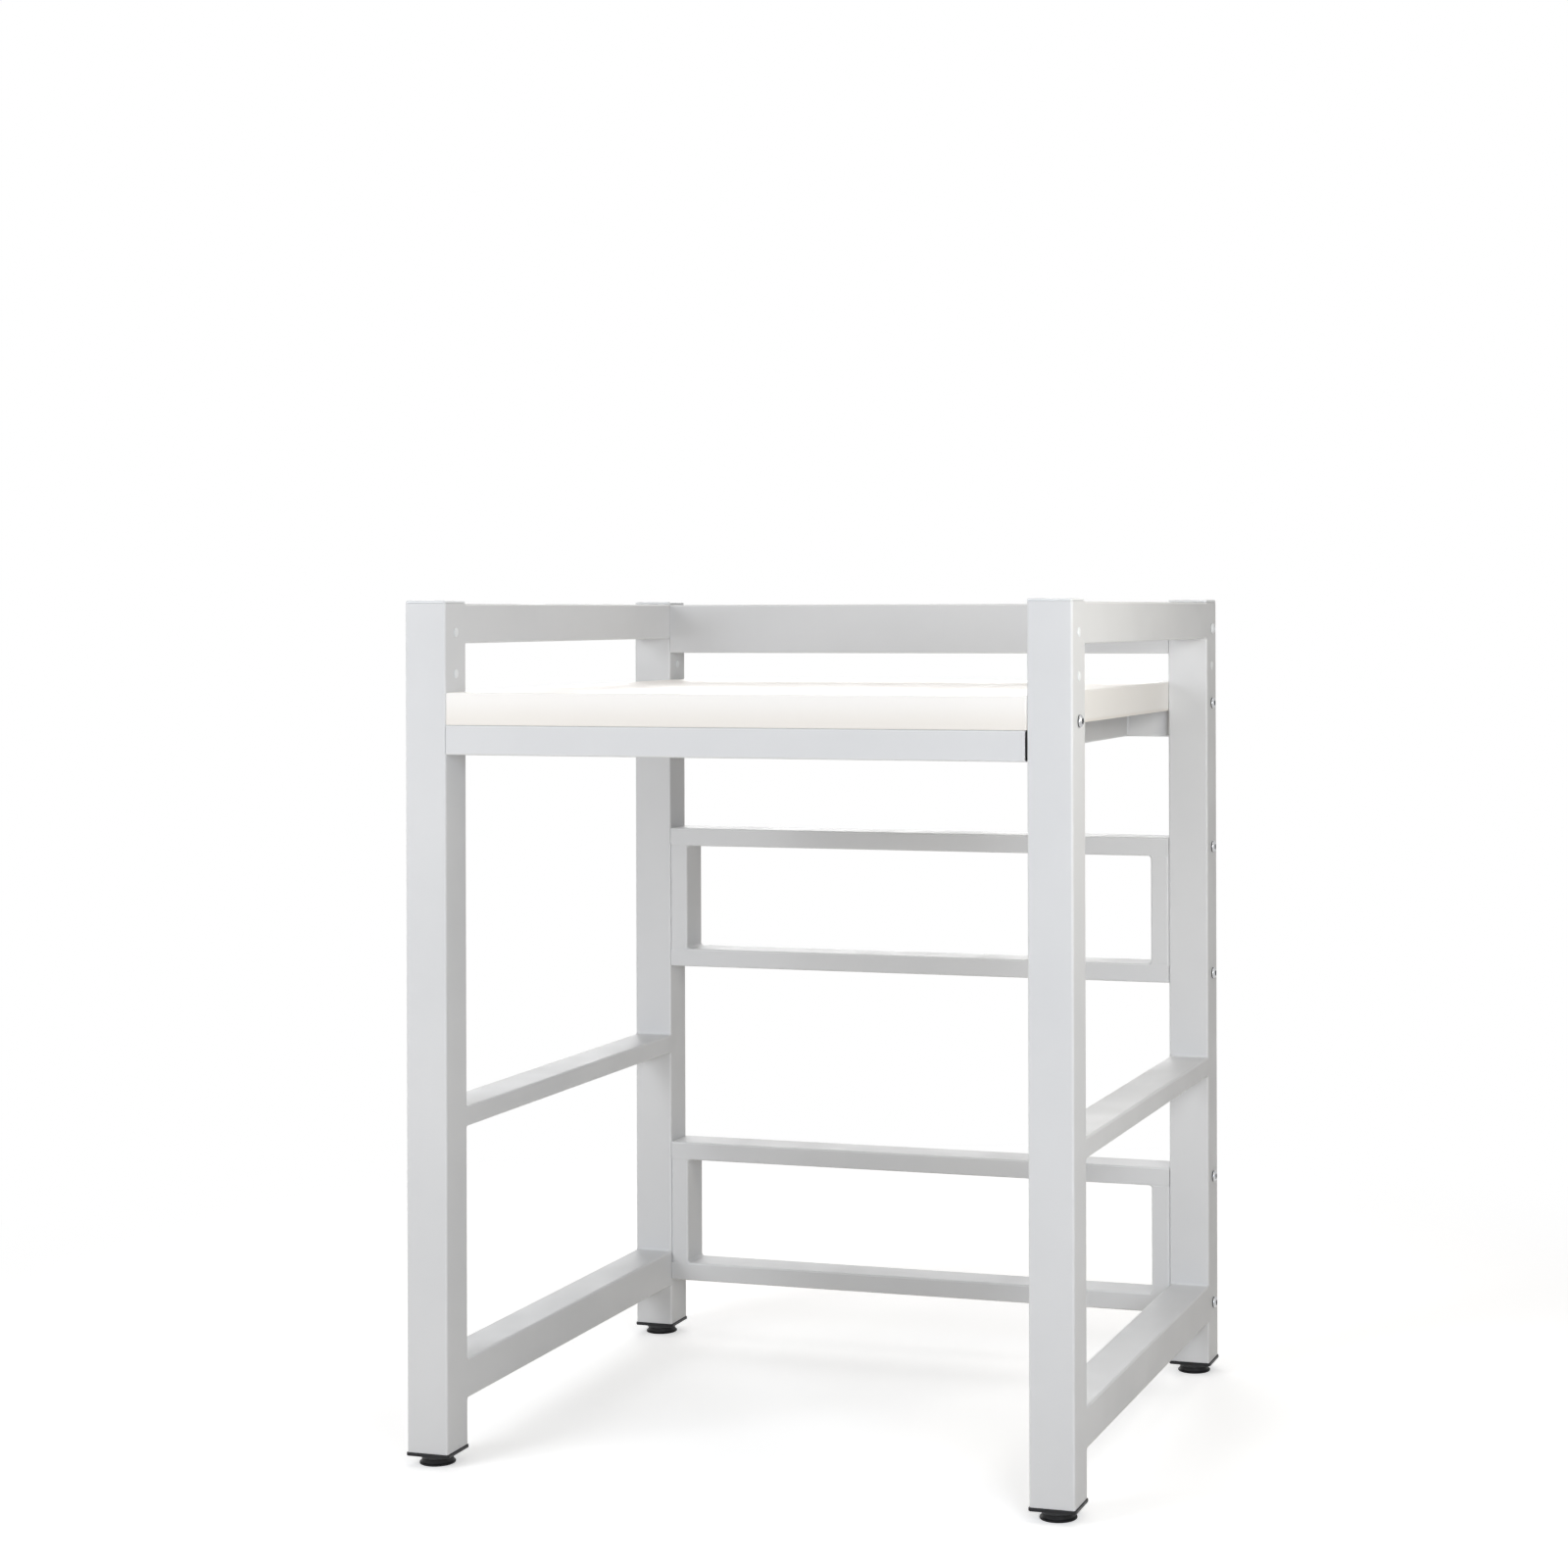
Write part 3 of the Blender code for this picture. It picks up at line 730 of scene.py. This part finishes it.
def add_deck():
    """Folded deck: a plate with flanges turned down all round, a painted highlight along its top bend and
    corners, and painted shade deepening towards the flanges' bottom band.
    """
    low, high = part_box("shelf_deck")
    low.x -= deck_side_reach
    high.x += deck_side_reach
    low.z -= deck_rim_drop
    middle = ((low.x + high.x) / 2, (low.y + high.y) / 2)
    size = high - low
    rim = ((cut_edge, 0), (0, cut_edge), (0, deck_rim_band))
    # The flanges' bottom band carries -1, painted shade that fades out up to the bend
    path = [(inset, low.z + rise, deck_rim_shade) for inset, rise in rim]

    def bend(radius, first, last, edge):
        for step in range(corner_steps + 1):
            angle = math.radians(first + (last - first) * step / corner_steps)
            worn_and_lit = edge * math.sin(math.pi * step / corner_steps)
            inset = deck_bend - radius * math.cos(angle)
            path.append((inset, high.z - deck_bend + radius * math.sin(angle), worn_and_lit))

    # The outer bend carries a painted highlight
    bend(deck_bend, 0, 90, 1.0)
    outer_count = len(path)
    bend(deck_bend - deck_sheet, 90, 0, 0.0)
    path += [(deck_sheet, low.z + cut_edge, 0.0), (deck_sheet - cut_edge, low.z, deck_inner_highlight)]

    bm = new_bmesh()
    layer = bm.verts.layers.float["edge"]
    rows = []
    for inset, z, worn_and_lit in path:
        corner = max(deck_plan_corner - inset, deck_least_corner)
        outline, turns = rounded_outline(size.x - 2 * inset, size.y - 2 * inset, corner)
        row = [bm.verts.new((middle[0] + u, middle[1] + v, z)) for u, v in outline]
        for vert, turn in zip(row, turns):
            # Outer rows also get a painted highlight round the plan corners
            plain = worn_and_lit < 0 or len(rows) >= outer_count
            vert[layer] = worn_and_lit if plain else max(worn_and_lit, corner_highlight * turn)
        rows.append(row)
    joins = [(rows[i], rows[i + 1]) for i in range(outer_count - 1)]
    joins += [(rows[i], rows[i + 1]) for i in range(outer_count, len(rows) - 1)]
    joins.append((rows[-1], rows[0]))
    for a, b in joins:
        for i in range(len(a)):
            j = (i + 1) % len(a)
            bm.faces.new((a[i], a[j], b[j], b[i]))
    bm.faces.new(rows[outer_count - 1])
    bm.faces.new(list(reversed(rows[outer_count])))
    piece = add_piece("visual_shelf_deck", mesh_from(bm, "shelf_deck"), "deck_coat", nodes=["shelf_deck"])
    drills = new_bmesh()
    for leg, sx, _ in legs:
        bolt = box_middle(f"shelf_bolt_{leg}")
        face = high.x if sx > 0 else low.x
        drill(drills, face - drill_overrun, face + drill_overrun, bolt.y, bolt.z)
    cut_holes(piece, drills)


# Welds

def weld_section(kind, leg=fillet_leg):
    """Section of a weld: how far out from the joined tube's face and how far along it from the joint."""
    shape, scale = (fillet_shares, leg) if kind == "fillet" else (flush_welds_mm[kind], mm)
    return [(out * scale, run * scale) for out, run in shape]


def weld_walk(width, depth):
    """Points round a tube, each with its outward direction, side, share of the corner and distance gone."""
    walk = []
    gone = 0.0
    for quarter, (side_u, side_v) in enumerate(corners):
        for step in range(corner_steps + 1):
            share = step / corner_steps
            angle = quarter_turn * (quarter + share)
            out = (math.cos(angle), math.sin(angle))
            u = side_u * (width / 2 - tube_corner) + tube_corner * out[0]
            v = side_v * (depth / 2 - tube_corner) + tube_corner * out[1]
            walk.append((u, v, out, quarter, share, gone))
            gone += quarter_turn * tube_corner / corner_steps
        flat = (depth if quarter % 2 else width) - 2 * tube_corner
        count = max(2, round(flat / weld_step))
        ahead = (-out[1], out[0])
        for step in range(1, count):
            run = flat * step / count
            walk.append((u + ahead[0] * run, v + ahead[1] * run, out, quarter, 1.0, gone + run))
        gone += flat
    return walk


def add_weld(name, axis, joint, direction, middle, size, kinds, leg=fillet_leg, ripple=0.0):
    """Weld round a tube's end; kinds gives the section on its +u, +v, -u and -v sides."""
    sections = [weld_section(kind, leg) for kind in kinds]
    bm = new_bmesh()
    rings = []
    for u, v, out, quarter, share, gone in weld_walk(*size):
        smooth = share * share * (3 - 2 * share)
        before, after = sections[quarter], sections[(quarter + 1) % 4]
        wave = ripple * math.sin(full_turn * gone / ripple_pitch)
        ring = []
        for number, (first, last) in enumerate(zip(before, after)):
            rise = first[0] + (last[0] - first[0]) * smooth
            run = first[1] + (last[1] - first[1]) * smooth
            if 2 <= number <= 4:
                rise += wave
                run += wave
            ring.append(along(axis, middle[0] + u + out[0] * rise, middle[1] + v + out[1] * rise,
                              joint + direction * run))
        rings.append(ring)
    loft(bm, rings, closed=True)
    add_piece(name, mesh_from(bm, name, weld_sharp_angle), "powder_coat")


def add_welds():
    """Seams between rails and uprights, under the shelf and in the corners of the rear frames."""
    for leg, _, sy in legs:
        end, side = leg.split("_")
        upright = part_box(f"upright_{leg}")
        joint = upright[1].y if sy < 0 else upright[0].y
        for rail in ("bottom_rail", "middle_rail", "guard_rail"):
            size, middle, _, _ = section_size(*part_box(f"{rail}_{side}"), "y")
            upper = "butt" if rail == "guard_rail" else "fillet"
            kinds = ("ground", upper, "ground", "fillet")
            add_weld(f"weld_{rail}_{leg}", "y", joint, -sy, middle, size, kinds)
        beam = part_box(f"shelf_beam_{end}")
        joint = beam[1].y if sy < 0 else beam[0].y
        size, middle, _, _ = section_size(*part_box(f"support_rail_{side}"), "y")
        add_weld(f"weld_support_rail_{leg}", "y", joint, -sy, middle, size,
                 ("fillet", "ground", "fillet", "ground"), ripple=ripple_height)
    for part in ("lower", "upper"):
        for side, sx in sides:
            size, middle, _, _ = section_size(*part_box(f"{part}_frame_post_{side}"), "z")
            kinds = ("butt", "seam", "fillet", "seam") if sx > 0 else ("fillet", "seam", "butt", "seam")
            for bar, direction in (("bottom", 1), ("top", -1)):
                low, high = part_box(f"{part}_frame_{bar}_bar")
                joint = high.z if direction > 0 else low.z
                add_weld(f"weld_{part}_frame_{bar}_{side}", "z", joint, direction, middle, size, kinds,
                         leg=frame_fillet_leg)


# Caps, plugs and feet

def add_on_leg(leg, part, mesh, slot, body="stand"):
    """A leg's cap, plug, pad or stud in place of its node, its mesh made about the leg's middle."""
    node = f"{part}_{leg}"
    middle = box_middle(node)
    place = Matrix.Translation((middle.x, middle.y, 0))
    add_piece(f"visual_{node}", mesh, slot, body, [node], place)


def add_caps():
    """White caps with a rounded-over edge, a fine shadow groove under it and a hollow skirt."""
    low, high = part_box("top_cap_front_left")
    size = high.x - low.x
    top = high.z
    underside = top - cap_thickness
    bottom = low.z
    hollow = cap_skirt - 2 * cap_wall
    rings, wear_and_light = [], []

    def ring(width, corner, z, edge=0.0):
        outline, turns = rounded_outline(width, width, corner)
        rings.append(at_height(outline, z))
        wear_and_light.append([max(edge, turn * corner_highlight) for turn in turns])

    ring(hollow, tube_inner_corner, underside - cap_roof_drop)
    ring(hollow, tube_inner_corner, bottom)
    ring(cap_skirt - 2 * cap_lead, tube_inner_corner, bottom)
    ring(cap_skirt, tube_inner_corner, bottom + cap_lead_height)
    ring(cap_skirt, tube_inner_corner, underside)
    ring(size - 2 * cap_seam, cap_corner, underside)
    ring(size, cap_corner, underside + cap_seam)
    rounding = cap_thickness - cap_rim - cap_crown
    for step in range(corner_steps + 1):
        angle = quarter_turn * step / corner_steps
        inset = rounding * (1 - math.cos(angle))
        z = underside + cap_rim + rounding * math.sin(angle)
        ring(size - 2 * inset, cap_corner, z, math.sin(2 * angle))
    for share in cap_crown_shares:
        width = (size - 2 * rounding) * (1 - share)
        ring(width, cap_corner * (1 - share), top - cap_crown * (1 - share) ** 2)
    bm = new_bmesh()
    loft(bm, rings, wear_and_light=wear_and_light)
    mesh = mesh_from(bm, "top_cap")
    for leg, _, _ in legs:
        add_on_leg(leg, "top_cap", mesh, "white_plastic")


def add_base_plugs():
    """Black plugs: a flange with softened edges, a hollow ribbed skirt and the boss for the stud."""
    low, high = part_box("base_plug_front_left")
    flange = high.x - low.x
    bottom, top = low.z, high.z
    seat = bottom + plug_flange_thickness
    floor = seat + plug_floor
    hollow = plug_skirt - 2 * plug_wall
    count = 4 * (corner_steps + 1)
    rings = []

    def square(width, corner, z):
        rings.append(at_height(rounded_outline(width, width, corner)[0], z))

    def ring(radius, z):
        rings.append(at_height(circle(radius, count), z))

    ring(plug_bore, bottom + plug_bore_chamfer)
    ring(plug_bore + plug_bore_flare, bottom)
    turns = [quarter_turn * step / plug_edge_steps for step in range(plug_edge_steps + 1)]
    for angle in turns:
        inset = plug_edge * (1 - math.sin(angle))
        z = bottom + plug_edge * (1 - math.cos(angle))
        square(flange - 2 * inset, plug_flange_corner - inset, z)
    for angle in turns:
        inset = plug_seat_edge * (1 - math.cos(angle))
        z = seat - plug_seat_edge * (1 - math.sin(angle))
        square(flange - 2 * inset, plug_flange_corner - inset, z)
    square(plug_skirt, tube_inner_corner, seat)
    for fin in range(plug_fins):
        foot = seat + plug_fin_start + plug_fin_pitch * fin
        square(plug_skirt, tube_inner_corner, foot)
        square(plug_skirt + 2 * plug_fin_reach, tube_inner_corner, foot + plug_fin_rise)
        square(plug_skirt, tube_inner_corner, foot + plug_fin_height)
    square(plug_skirt - 2 * plug_taper, tube_inner_corner, top)
    square(hollow, tube_inner_corner, top)
    square(hollow, tube_inner_corner, floor)
    boss_top = bottom + boss_height
    ring(boss_radius + boss_fillet, floor)
    ring(boss_radius, floor + boss_fillet)
    ring(boss_radius, boss_top - boss_chamfer)
    ring(boss_radius - boss_chamfer, boss_top)
    ring(plug_bore + plug_bore_chamfer, boss_top)
    ring(plug_bore, boss_top - plug_bore_chamfer)
    bm = new_bmesh()
    loft(bm, rings, closed=True)
    mesh = mesh_from(bm, "base_plug")
    for leg, _, _ in legs:
        add_on_leg(leg, "base_plug", mesh, "black_plastic")


def pad_mesh(radius, top):
    """Rubber pad: tread rings, a flared lip, a waist, a tapered upper tier and the stud's pocket."""
    profile = [(near_axis, pad_tread)]
    for inner in pad_tread_radii:
        first, last = inner + pad_tread_slope, inner + pad_tread_slope + pad_tread_width
        profile += [(inner, pad_tread), (first, 0.0), (last, 0.0), (last + pad_tread_slope, pad_tread)]
    profile.append((pad_sole_radius, 0.0))
    profile += arc(radius - pad_lip_low_round, pad_lip_low_round, pad_lip_low_round, -90, 0, pad_arc_steps)
    profile += arc(radius - pad_lip_high_round, pad_lip_height, pad_lip_high_round, 0, 75, pad_arc_steps)
    profile += pad_waist
    profile += arc(pad_top_radius, top - pad_top_round, pad_top_round, 5, 90, pad_arc_steps)
    profile += [(pocket_mouth + pocket_chamfer, top), (pocket_mouth, top - pocket_chamfer),
                (pocket_mouth, top - pocket_lip), (pocket_radius, top - pocket_lip),
                (pocket_radius, pocket_floor), (near_axis, pocket_floor)]
    bm = new_bmesh()
    lathe(bm, profile, round_points)
    return mesh_from(bm, "foot_pad")


def stud_mesh(radius, collar_bottom, collar_top, bottom, top):
    """Stud: flange in the pad, collar with soft shoulders, and a true thread up to the tip."""
    side = bottom + stud_flange_side
    profile = [(near_axis, bottom), (stud_flange_radius, bottom)]
    low_side = bottom + stud_flange_round
    profile += arc(stud_flange_radius, low_side, stud_flange_round, -90, 0, stud_arc_steps)
    profile += [(stud_flange_radius + stud_flange_round, side)]
    profile += arc(stud_flange_radius, side, stud_flange_round, 0, 90, stud_arc_steps)
    profile += [(stud_neck_radius, bottom + stud_flange_height), (stud_neck_radius, collar_bottom)]
    barrel = radius - collar_bulge
    side_low, side_high = collar_bottom + collar_low_round, collar_top - collar_high_round
    profile += arc(barrel - collar_low_round, side_low, collar_low_round, -90, 0, stud_arc_steps, 0.5)
    for share in collar_bulge_shares:
        bulge = collar_bulge * math.sin(math.pi * share)
        profile.append((barrel + bulge, side_low + (side_high - side_low) * share))
    profile += arc(barrel - collar_high_round, side_high, collar_high_round, 0, 90, collar_arc_steps, 0.7)
    dish = collar_top - collar_dish_depth
    profile += [(collar_dish_radius, collar_top), (collar_dish_radius - collar_dish_slope, dish),
                (stud_radius + stud_root, dish)]
    rings, wear_and_light = turned(profile, round_points)
    thread, crests = thread_rings(stud_radius, stud_thread_depth, stud_pitch,
                                  collar_top - collar_thread_drop, top - stud_tip, round_points)
    rings += thread
    wear_and_light += crests
    rings.append(at_height(circle(stud_radius - stud_tip, round_points), top))
    wear_and_light.append(stud_tip_wear)
    bm = new_bmesh()
    loft(bm, rings, wear_and_light=wear_and_light)
    return mesh_from(bm, "foot_stud", stud_sharp_angle)


def add_feet():
    """Rubber pads and the studs that turn in them, each on its own body."""
    pad_low, pad_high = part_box("foot_pad_front_left")
    stud_low, stud_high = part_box("foot_stud_front_left")
    plug_low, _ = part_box("base_plug_front_left")
    pad = pad_mesh((pad_high.x - pad_low.x) / 2, pad_high.z)
    stud = stud_mesh((stud_high.x - stud_low.x) / 2, pad_high.z + stud_gap, plug_low.z - stud_gap,
                     stud_low.z, stud_high.z)
    for leg, _, _ in legs:
        add_on_leg(leg, "foot_pad", pad, "foot_rubber", f"pad_{leg}")
        add_on_leg(leg, "foot_stud", stud, "stud_steel", f"stud_{leg}")


# Fasteners

def bolt_mesh(name, shank):
    """Button-head bolt along +Z: its head seated at zero, its shank below with a thread at the end."""
    rings, wear_and_light = [], []

    def add(outline, z, edge=0.0):
        rings.append(at_height(outline, z))
        wear_and_light.append(edge)

    add(circle(bolt_radius - bolt_tip, bolt_points), -shank, bolt_tip_wear)
    thread, crests = thread_rings(bolt_radius, bolt_thread_depth, bolt_pitch,
                                  -shank + bolt_tip, -shank + bolt_thread_length, bolt_points)
    rings += thread
    wear_and_light += crests
    add(circle(bolt_radius, bolt_points), 0)
    # Painted shade round the head's seat
    add(circle(head_radius - head_edge, bolt_points), 0, socket_shade)
    add(circle(head_radius, bolt_points), head_edge, socket_shade)
    add(circle(head_radius, bolt_points), head_rim - head_shade_drop, head_shade_share * socket_shade)
    dome = head_height - head_rim
    last = math.acos(head_land / head_radius)
    for step in range(head_steps + 1):
        angle = last * step / head_steps
        z = head_rim + dome * math.sin(angle) / math.sin(last)
        worn_and_lit = head_land_wear if step == head_steps else 0.0
        add(circle(head_radius * math.cos(angle), bolt_points), z, worn_and_lit)
    add(hexagon(socket_flats + 2 * socket_lead, bolt_points), head_height, socket_rim_wear)
    # Painted shade down the socket
    add(hexagon(socket_flats, bolt_points), head_height - socket_lead, socket_shade)
    floor = head_height - socket_depth
    add(hexagon(socket_flats, bolt_points), floor, socket_shade)
    add(circle(socket_floor_share * socket_flats / 2, bolt_points), floor - socket_cone, socket_shade)
    add(circle(socket_point_share * socket_flats / 2, bolt_points), floor - socket_point, socket_shade)
    bm = new_bmesh()
    loft(bm, rings, wear_and_light=wear_and_light)
    return mesh_from(bm, name, bolt_sharp_angle)


def nut_mesh(height):
    """Hexagon nut below zero, chamfered round both faces and in its bore."""
    rise = (nut_flats / 2 / math.cos(full_turn / 12) - nut_face_radius) * math.tan(nut_chamfer)
    near, far = [], []
    for step in range(nut_steps + 1):
        drop = rise * step / nut_steps
        outline = hexagon(nut_flats, round_points, nut_face_radius + drop / math.tan(nut_chamfer))
        near.append(at_height(outline, -drop))
        far.insert(0, at_height(outline, -height + drop))
    rings = near + far
    rings.append(at_height(circle(nut_bore + nut_bore_chamfer, round_points), -height))
    rings.append(at_height(circle(nut_bore, round_points), -height + nut_bore_chamfer))
    rings.append(at_height(circle(nut_bore, round_points), -nut_bore_chamfer))
    rings.append(at_height(circle(nut_bore + nut_bore_chamfer, round_points), 0))
    bm = new_bmesh()
    loft(bm, rings, closed=True)
    return mesh_from(bm, "hex_nut")


def outward(x, y, z, sx):
    """Place of a fastener at a point, its head facing left or right."""
    return Matrix.Translation((x, y, z)) @ Matrix.Rotation(sx * quarter_turn, 4, "Y")


def add_bolt(node, sx, mesh_name, slot, made):
    """A bolt in place of its node; bolts of one length share a mesh."""
    low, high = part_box(node)
    tip, crown = (low.x, high.x) if sx > 0 else (high.x, low.x)
    if mesh_name not in made:
        made[mesh_name] = bolt_mesh(mesh_name, abs(crown - tip) - head_height)
    middle = (low + high) / 2
    place = outward(crown - sx * head_height, middle.y, middle.z, sx)
    add_piece(f"visual_{node}", made[mesh_name], slot, nodes=[node], place=place)


def add_fasteners():
    """Zinc bolts at the shelf and the rear frames, painted ones at the crossbar, and the shelf's nuts."""
    made = {}
    for leg, sx, _ in legs:
        add_bolt(f"shelf_bolt_{leg}", sx, "shelf_bolt", "zinc_plate", made)
        node = f"shelf_nut_{leg}"
        low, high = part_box(node)
        if "nut" not in made:
            made["nut"] = nut_mesh(high.x - low.x)
        middle = (low + high) / 2
        place = outward(high.x if sx > 0 else low.x, middle.y, middle.z, sx)
        add_piece(f"visual_{node}", made["nut"], "zinc_plate", nodes=[node], place=place)
    for side, sx in sides:
        for part in ("lower", "upper"):
            for bar in ("bottom", "top"):
                add_bolt(f"{part}_frame_{bar}_bolt_{side}", sx, "tie_bolt", "zinc_plate", made)
        add_bolt(f"crossbar_bolt_{side}", sx, "cross_bolt", "painted_bolt", made)


def spare_plug_mesh():
    """White plug: a low dome with a thin rim on a barbed stem."""
    dome = spare_plug_height - spare_plug_rim
    waist = spare_plug_stem - spare_plug_waist
    profile = [(near_axis, -spare_plug_reach), (spare_plug_stem - spare_plug_tip, -spare_plug_reach),
               (spare_plug_stem, -spare_plug_reach + spare_plug_barb), (waist, -spare_plug_waist_depth),
               (waist, 0.0), (spare_plug_radius - spare_plug_seat, 0.0),
               (spare_plug_radius, spare_plug_seat, spare_plug_rim_wear),
               (spare_plug_radius, spare_plug_rim, spare_plug_rim_wear)]
    for step in range(1, dome_steps + 1):
        angle = quarter_turn * step / dome_steps
        radius = max(spare_plug_radius * math.cos(angle), near_axis)
        profile.append((radius, spare_plug_rim + dome * math.sin(angle)))
    bm = new_bmesh()
    lathe(bm, profile, plain_points)
    return mesh_from(bm, "spare_plug")


def add_spare_plugs():
    """White plugs in the spare holes, on the outer and the inner faces of the uprights."""
    mesh = spare_plug_mesh()
    for leg, sx, sy in legs:
        low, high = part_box(f"upright_{leg}")
        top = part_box(f"top_cap_{leg}")[1].z
        outer, inner = (high.x, low.x) if sx > 0 else (low.x, high.x)
        holes = [("lower", top - upper_hole_drop - upper_hole_pitch)]
        if sy < 0:
            holes.append(("upper", top - upper_hole_drop))
        for level, z in holes:
            y = (low.y + high.y) / 2
            add_piece(f"plug_{level}_outer_{leg}", mesh, "white_plastic", place=outward(outer, y, z, sx))
            add_piece(f"plug_{level}_inner_{leg}", mesh, "white_plastic", place=outward(inner, y, z, -sx))


# Studio

def seen_rays(tree):
    """One for camera, glossy and transmission rays, nought for the rest."""
    path = tree.nodes.new("ShaderNodeLightPath")
    seen = path.outputs["Is Camera Ray"]
    for name in ("Is Glossy Ray", "Is Transmission Ray"):
        most = tree.nodes.new("ShaderNodeMath")
        most.operation = "MAXIMUM"
        tree.links.new(seen, most.inputs[0])
        tree.links.new(path.outputs[name], most.inputs[1])
        seen = most.outputs["Value"]
    return seen


def plain_shader(tree, kind, socket, value, strength=None):
    """A diffuse or emission shader of one colour."""
    node = tree.nodes.new(kind)
    node.inputs["Color"].default_value = colour(value)
    if strength is not None:
        node.inputs["Strength"].default_value = strength
    return node.outputs[socket]


def floor_material():
    """Pale matt floor that is seen as white but for its shadow, and all white away from the stand."""
    material = bpy.data.materials.new("floor_white")
    material.use_nodes = True
    tree = material.node_tree
    tree.nodes.clear()
    lit = plain_shader(tree, "ShaderNodeBsdfDiffuse", "BSDF", floor_shade)
    under = plain_shader(tree, "ShaderNodeBsdfDiffuse", "BSDF", floor_seen_shade)
    glow = plain_shader(tree, "ShaderNodeEmission", "Emission", white_seen, floor_glow)
    shadowed = tree.nodes.new("ShaderNodeAddShader")
    tree.links.new(under, shadowed.inputs[0])
    tree.links.new(glow, shadowed.inputs[1])
    white = plain_shader(tree, "ShaderNodeEmission", "Emission", white_seen, 1.0)
    place = tree.nodes.new("ShaderNodeTexCoord")
    reach = tree.nodes.new("ShaderNodeVectorMath")
    reach.operation = "LENGTH"
    tree.links.new(place.outputs["Object"], reach.inputs[0])
    fade = tree.nodes.new("ShaderNodeMapRange")
    fade.interpolation_type = "SMOOTHSTEP"
    fade.inputs["From Min"].default_value, fade.inputs["From Max"].default_value = floor_fade
    tree.links.new(reach.outputs["Value"], fade.inputs["Value"])

    def mixed(factor, first, second):
        mix = tree.nodes.new("ShaderNodeMixShader")
        tree.links.new(factor, mix.inputs["Fac"])
        tree.links.new(first, mix.inputs[1])
        tree.links.new(second, mix.inputs[2])
        return mix.outputs["Shader"]

    seen = mixed(fade.outputs["Result"], shadowed.outputs["Shader"], white)
    out = tree.nodes.new("ShaderNodeOutputMaterial")
    tree.links.new(mixed(seen_rays(tree), lit, seen), out.inputs["Surface"])
    return material


def add_floor():
    """Wide round floor under the stand. It rides on a pad, so it stays under feet that are wound out."""
    bm = bmesh.new()
    bmesh.ops.create_circle(bm, cap_ends=True, radius=floor_radius, segments=floor_points)
    mesh = bpy.data.meshes.new("floor")
    bm.to_mesh(mesh)
    bm.free()
    floor = bpy.data.objects.new("floor", mesh)
    bpy.context.scene.collection.objects.link(floor)
    mesh.materials.append(floor_material())
    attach(floor, "pad_front_left")


def add_world(ambient):
    """Plain white surroundings: soft fill on the stand, full white where they are seen."""
    world = bpy.data.worlds.new("studio")
    bpy.context.scene.world = world
    world.use_nodes = True
    tree = world.node_tree
    shade = tree.nodes["Background"]
    shade.inputs["Color"].default_value = colour(white_seen)
    level = tree.nodes.new("ShaderNodeMapRange")
    level.inputs["To Min"].default_value = ambient
    level.inputs["To Max"].default_value = 1.0
    tree.links.new(seen_rays(tree), level.inputs["Value"])
    tree.links.new(level.outputs["Result"], shade.inputs["Strength"])


def add_softbox(name, place, aim, width, height, power, tint):
    """Large soft rectangular lamp aimed at a point."""
    lamp = bpy.data.lights.new(name, "AREA")
    lamp.shape = "RECTANGLE"
    lamp.size = width
    lamp.size_y = height
    lamp.energy = power
    lamp.color = tint
    box = bpy.data.objects.new(name, lamp)
    bpy.context.scene.collection.objects.link(box)
    box.location = place
    box.rotation_euler = (Vector(aim) - Vector(place)).to_track_quat("-Z", "Y").to_euler()
    box.visible_camera = False


def add_camera():
    data = bpy.data.cameras.new("camera")
    data.sensor_width = camera_sensor_mm
    data.lens = camera_lens_mm
    data.shift_x, data.shift_y = camera_shift
    data.clip_end = camera_reach
    camera = bpy.data.objects.new("camera", data)
    bpy.context.scene.collection.objects.link(camera)
    camera.location = camera_place
    camera.rotation_euler = (quarter_turn, camera_roll, camera_turn)
    bpy.context.scene.camera = camera


def main():
    add_uprights()
    add_tubes()
    add_deck()
    add_welds()
    add_caps()
    add_base_plugs()
    add_feet()
    add_fasteners()
    add_spare_plugs()
    add_floor()
    add_world(world_fill)
    for lamp in lamps:
        add_softbox(*lamp)
    add_camera()
    bpy.context.scene.view_settings.view_transform = "Standard"


main()
bpy.context.view_layer.update()
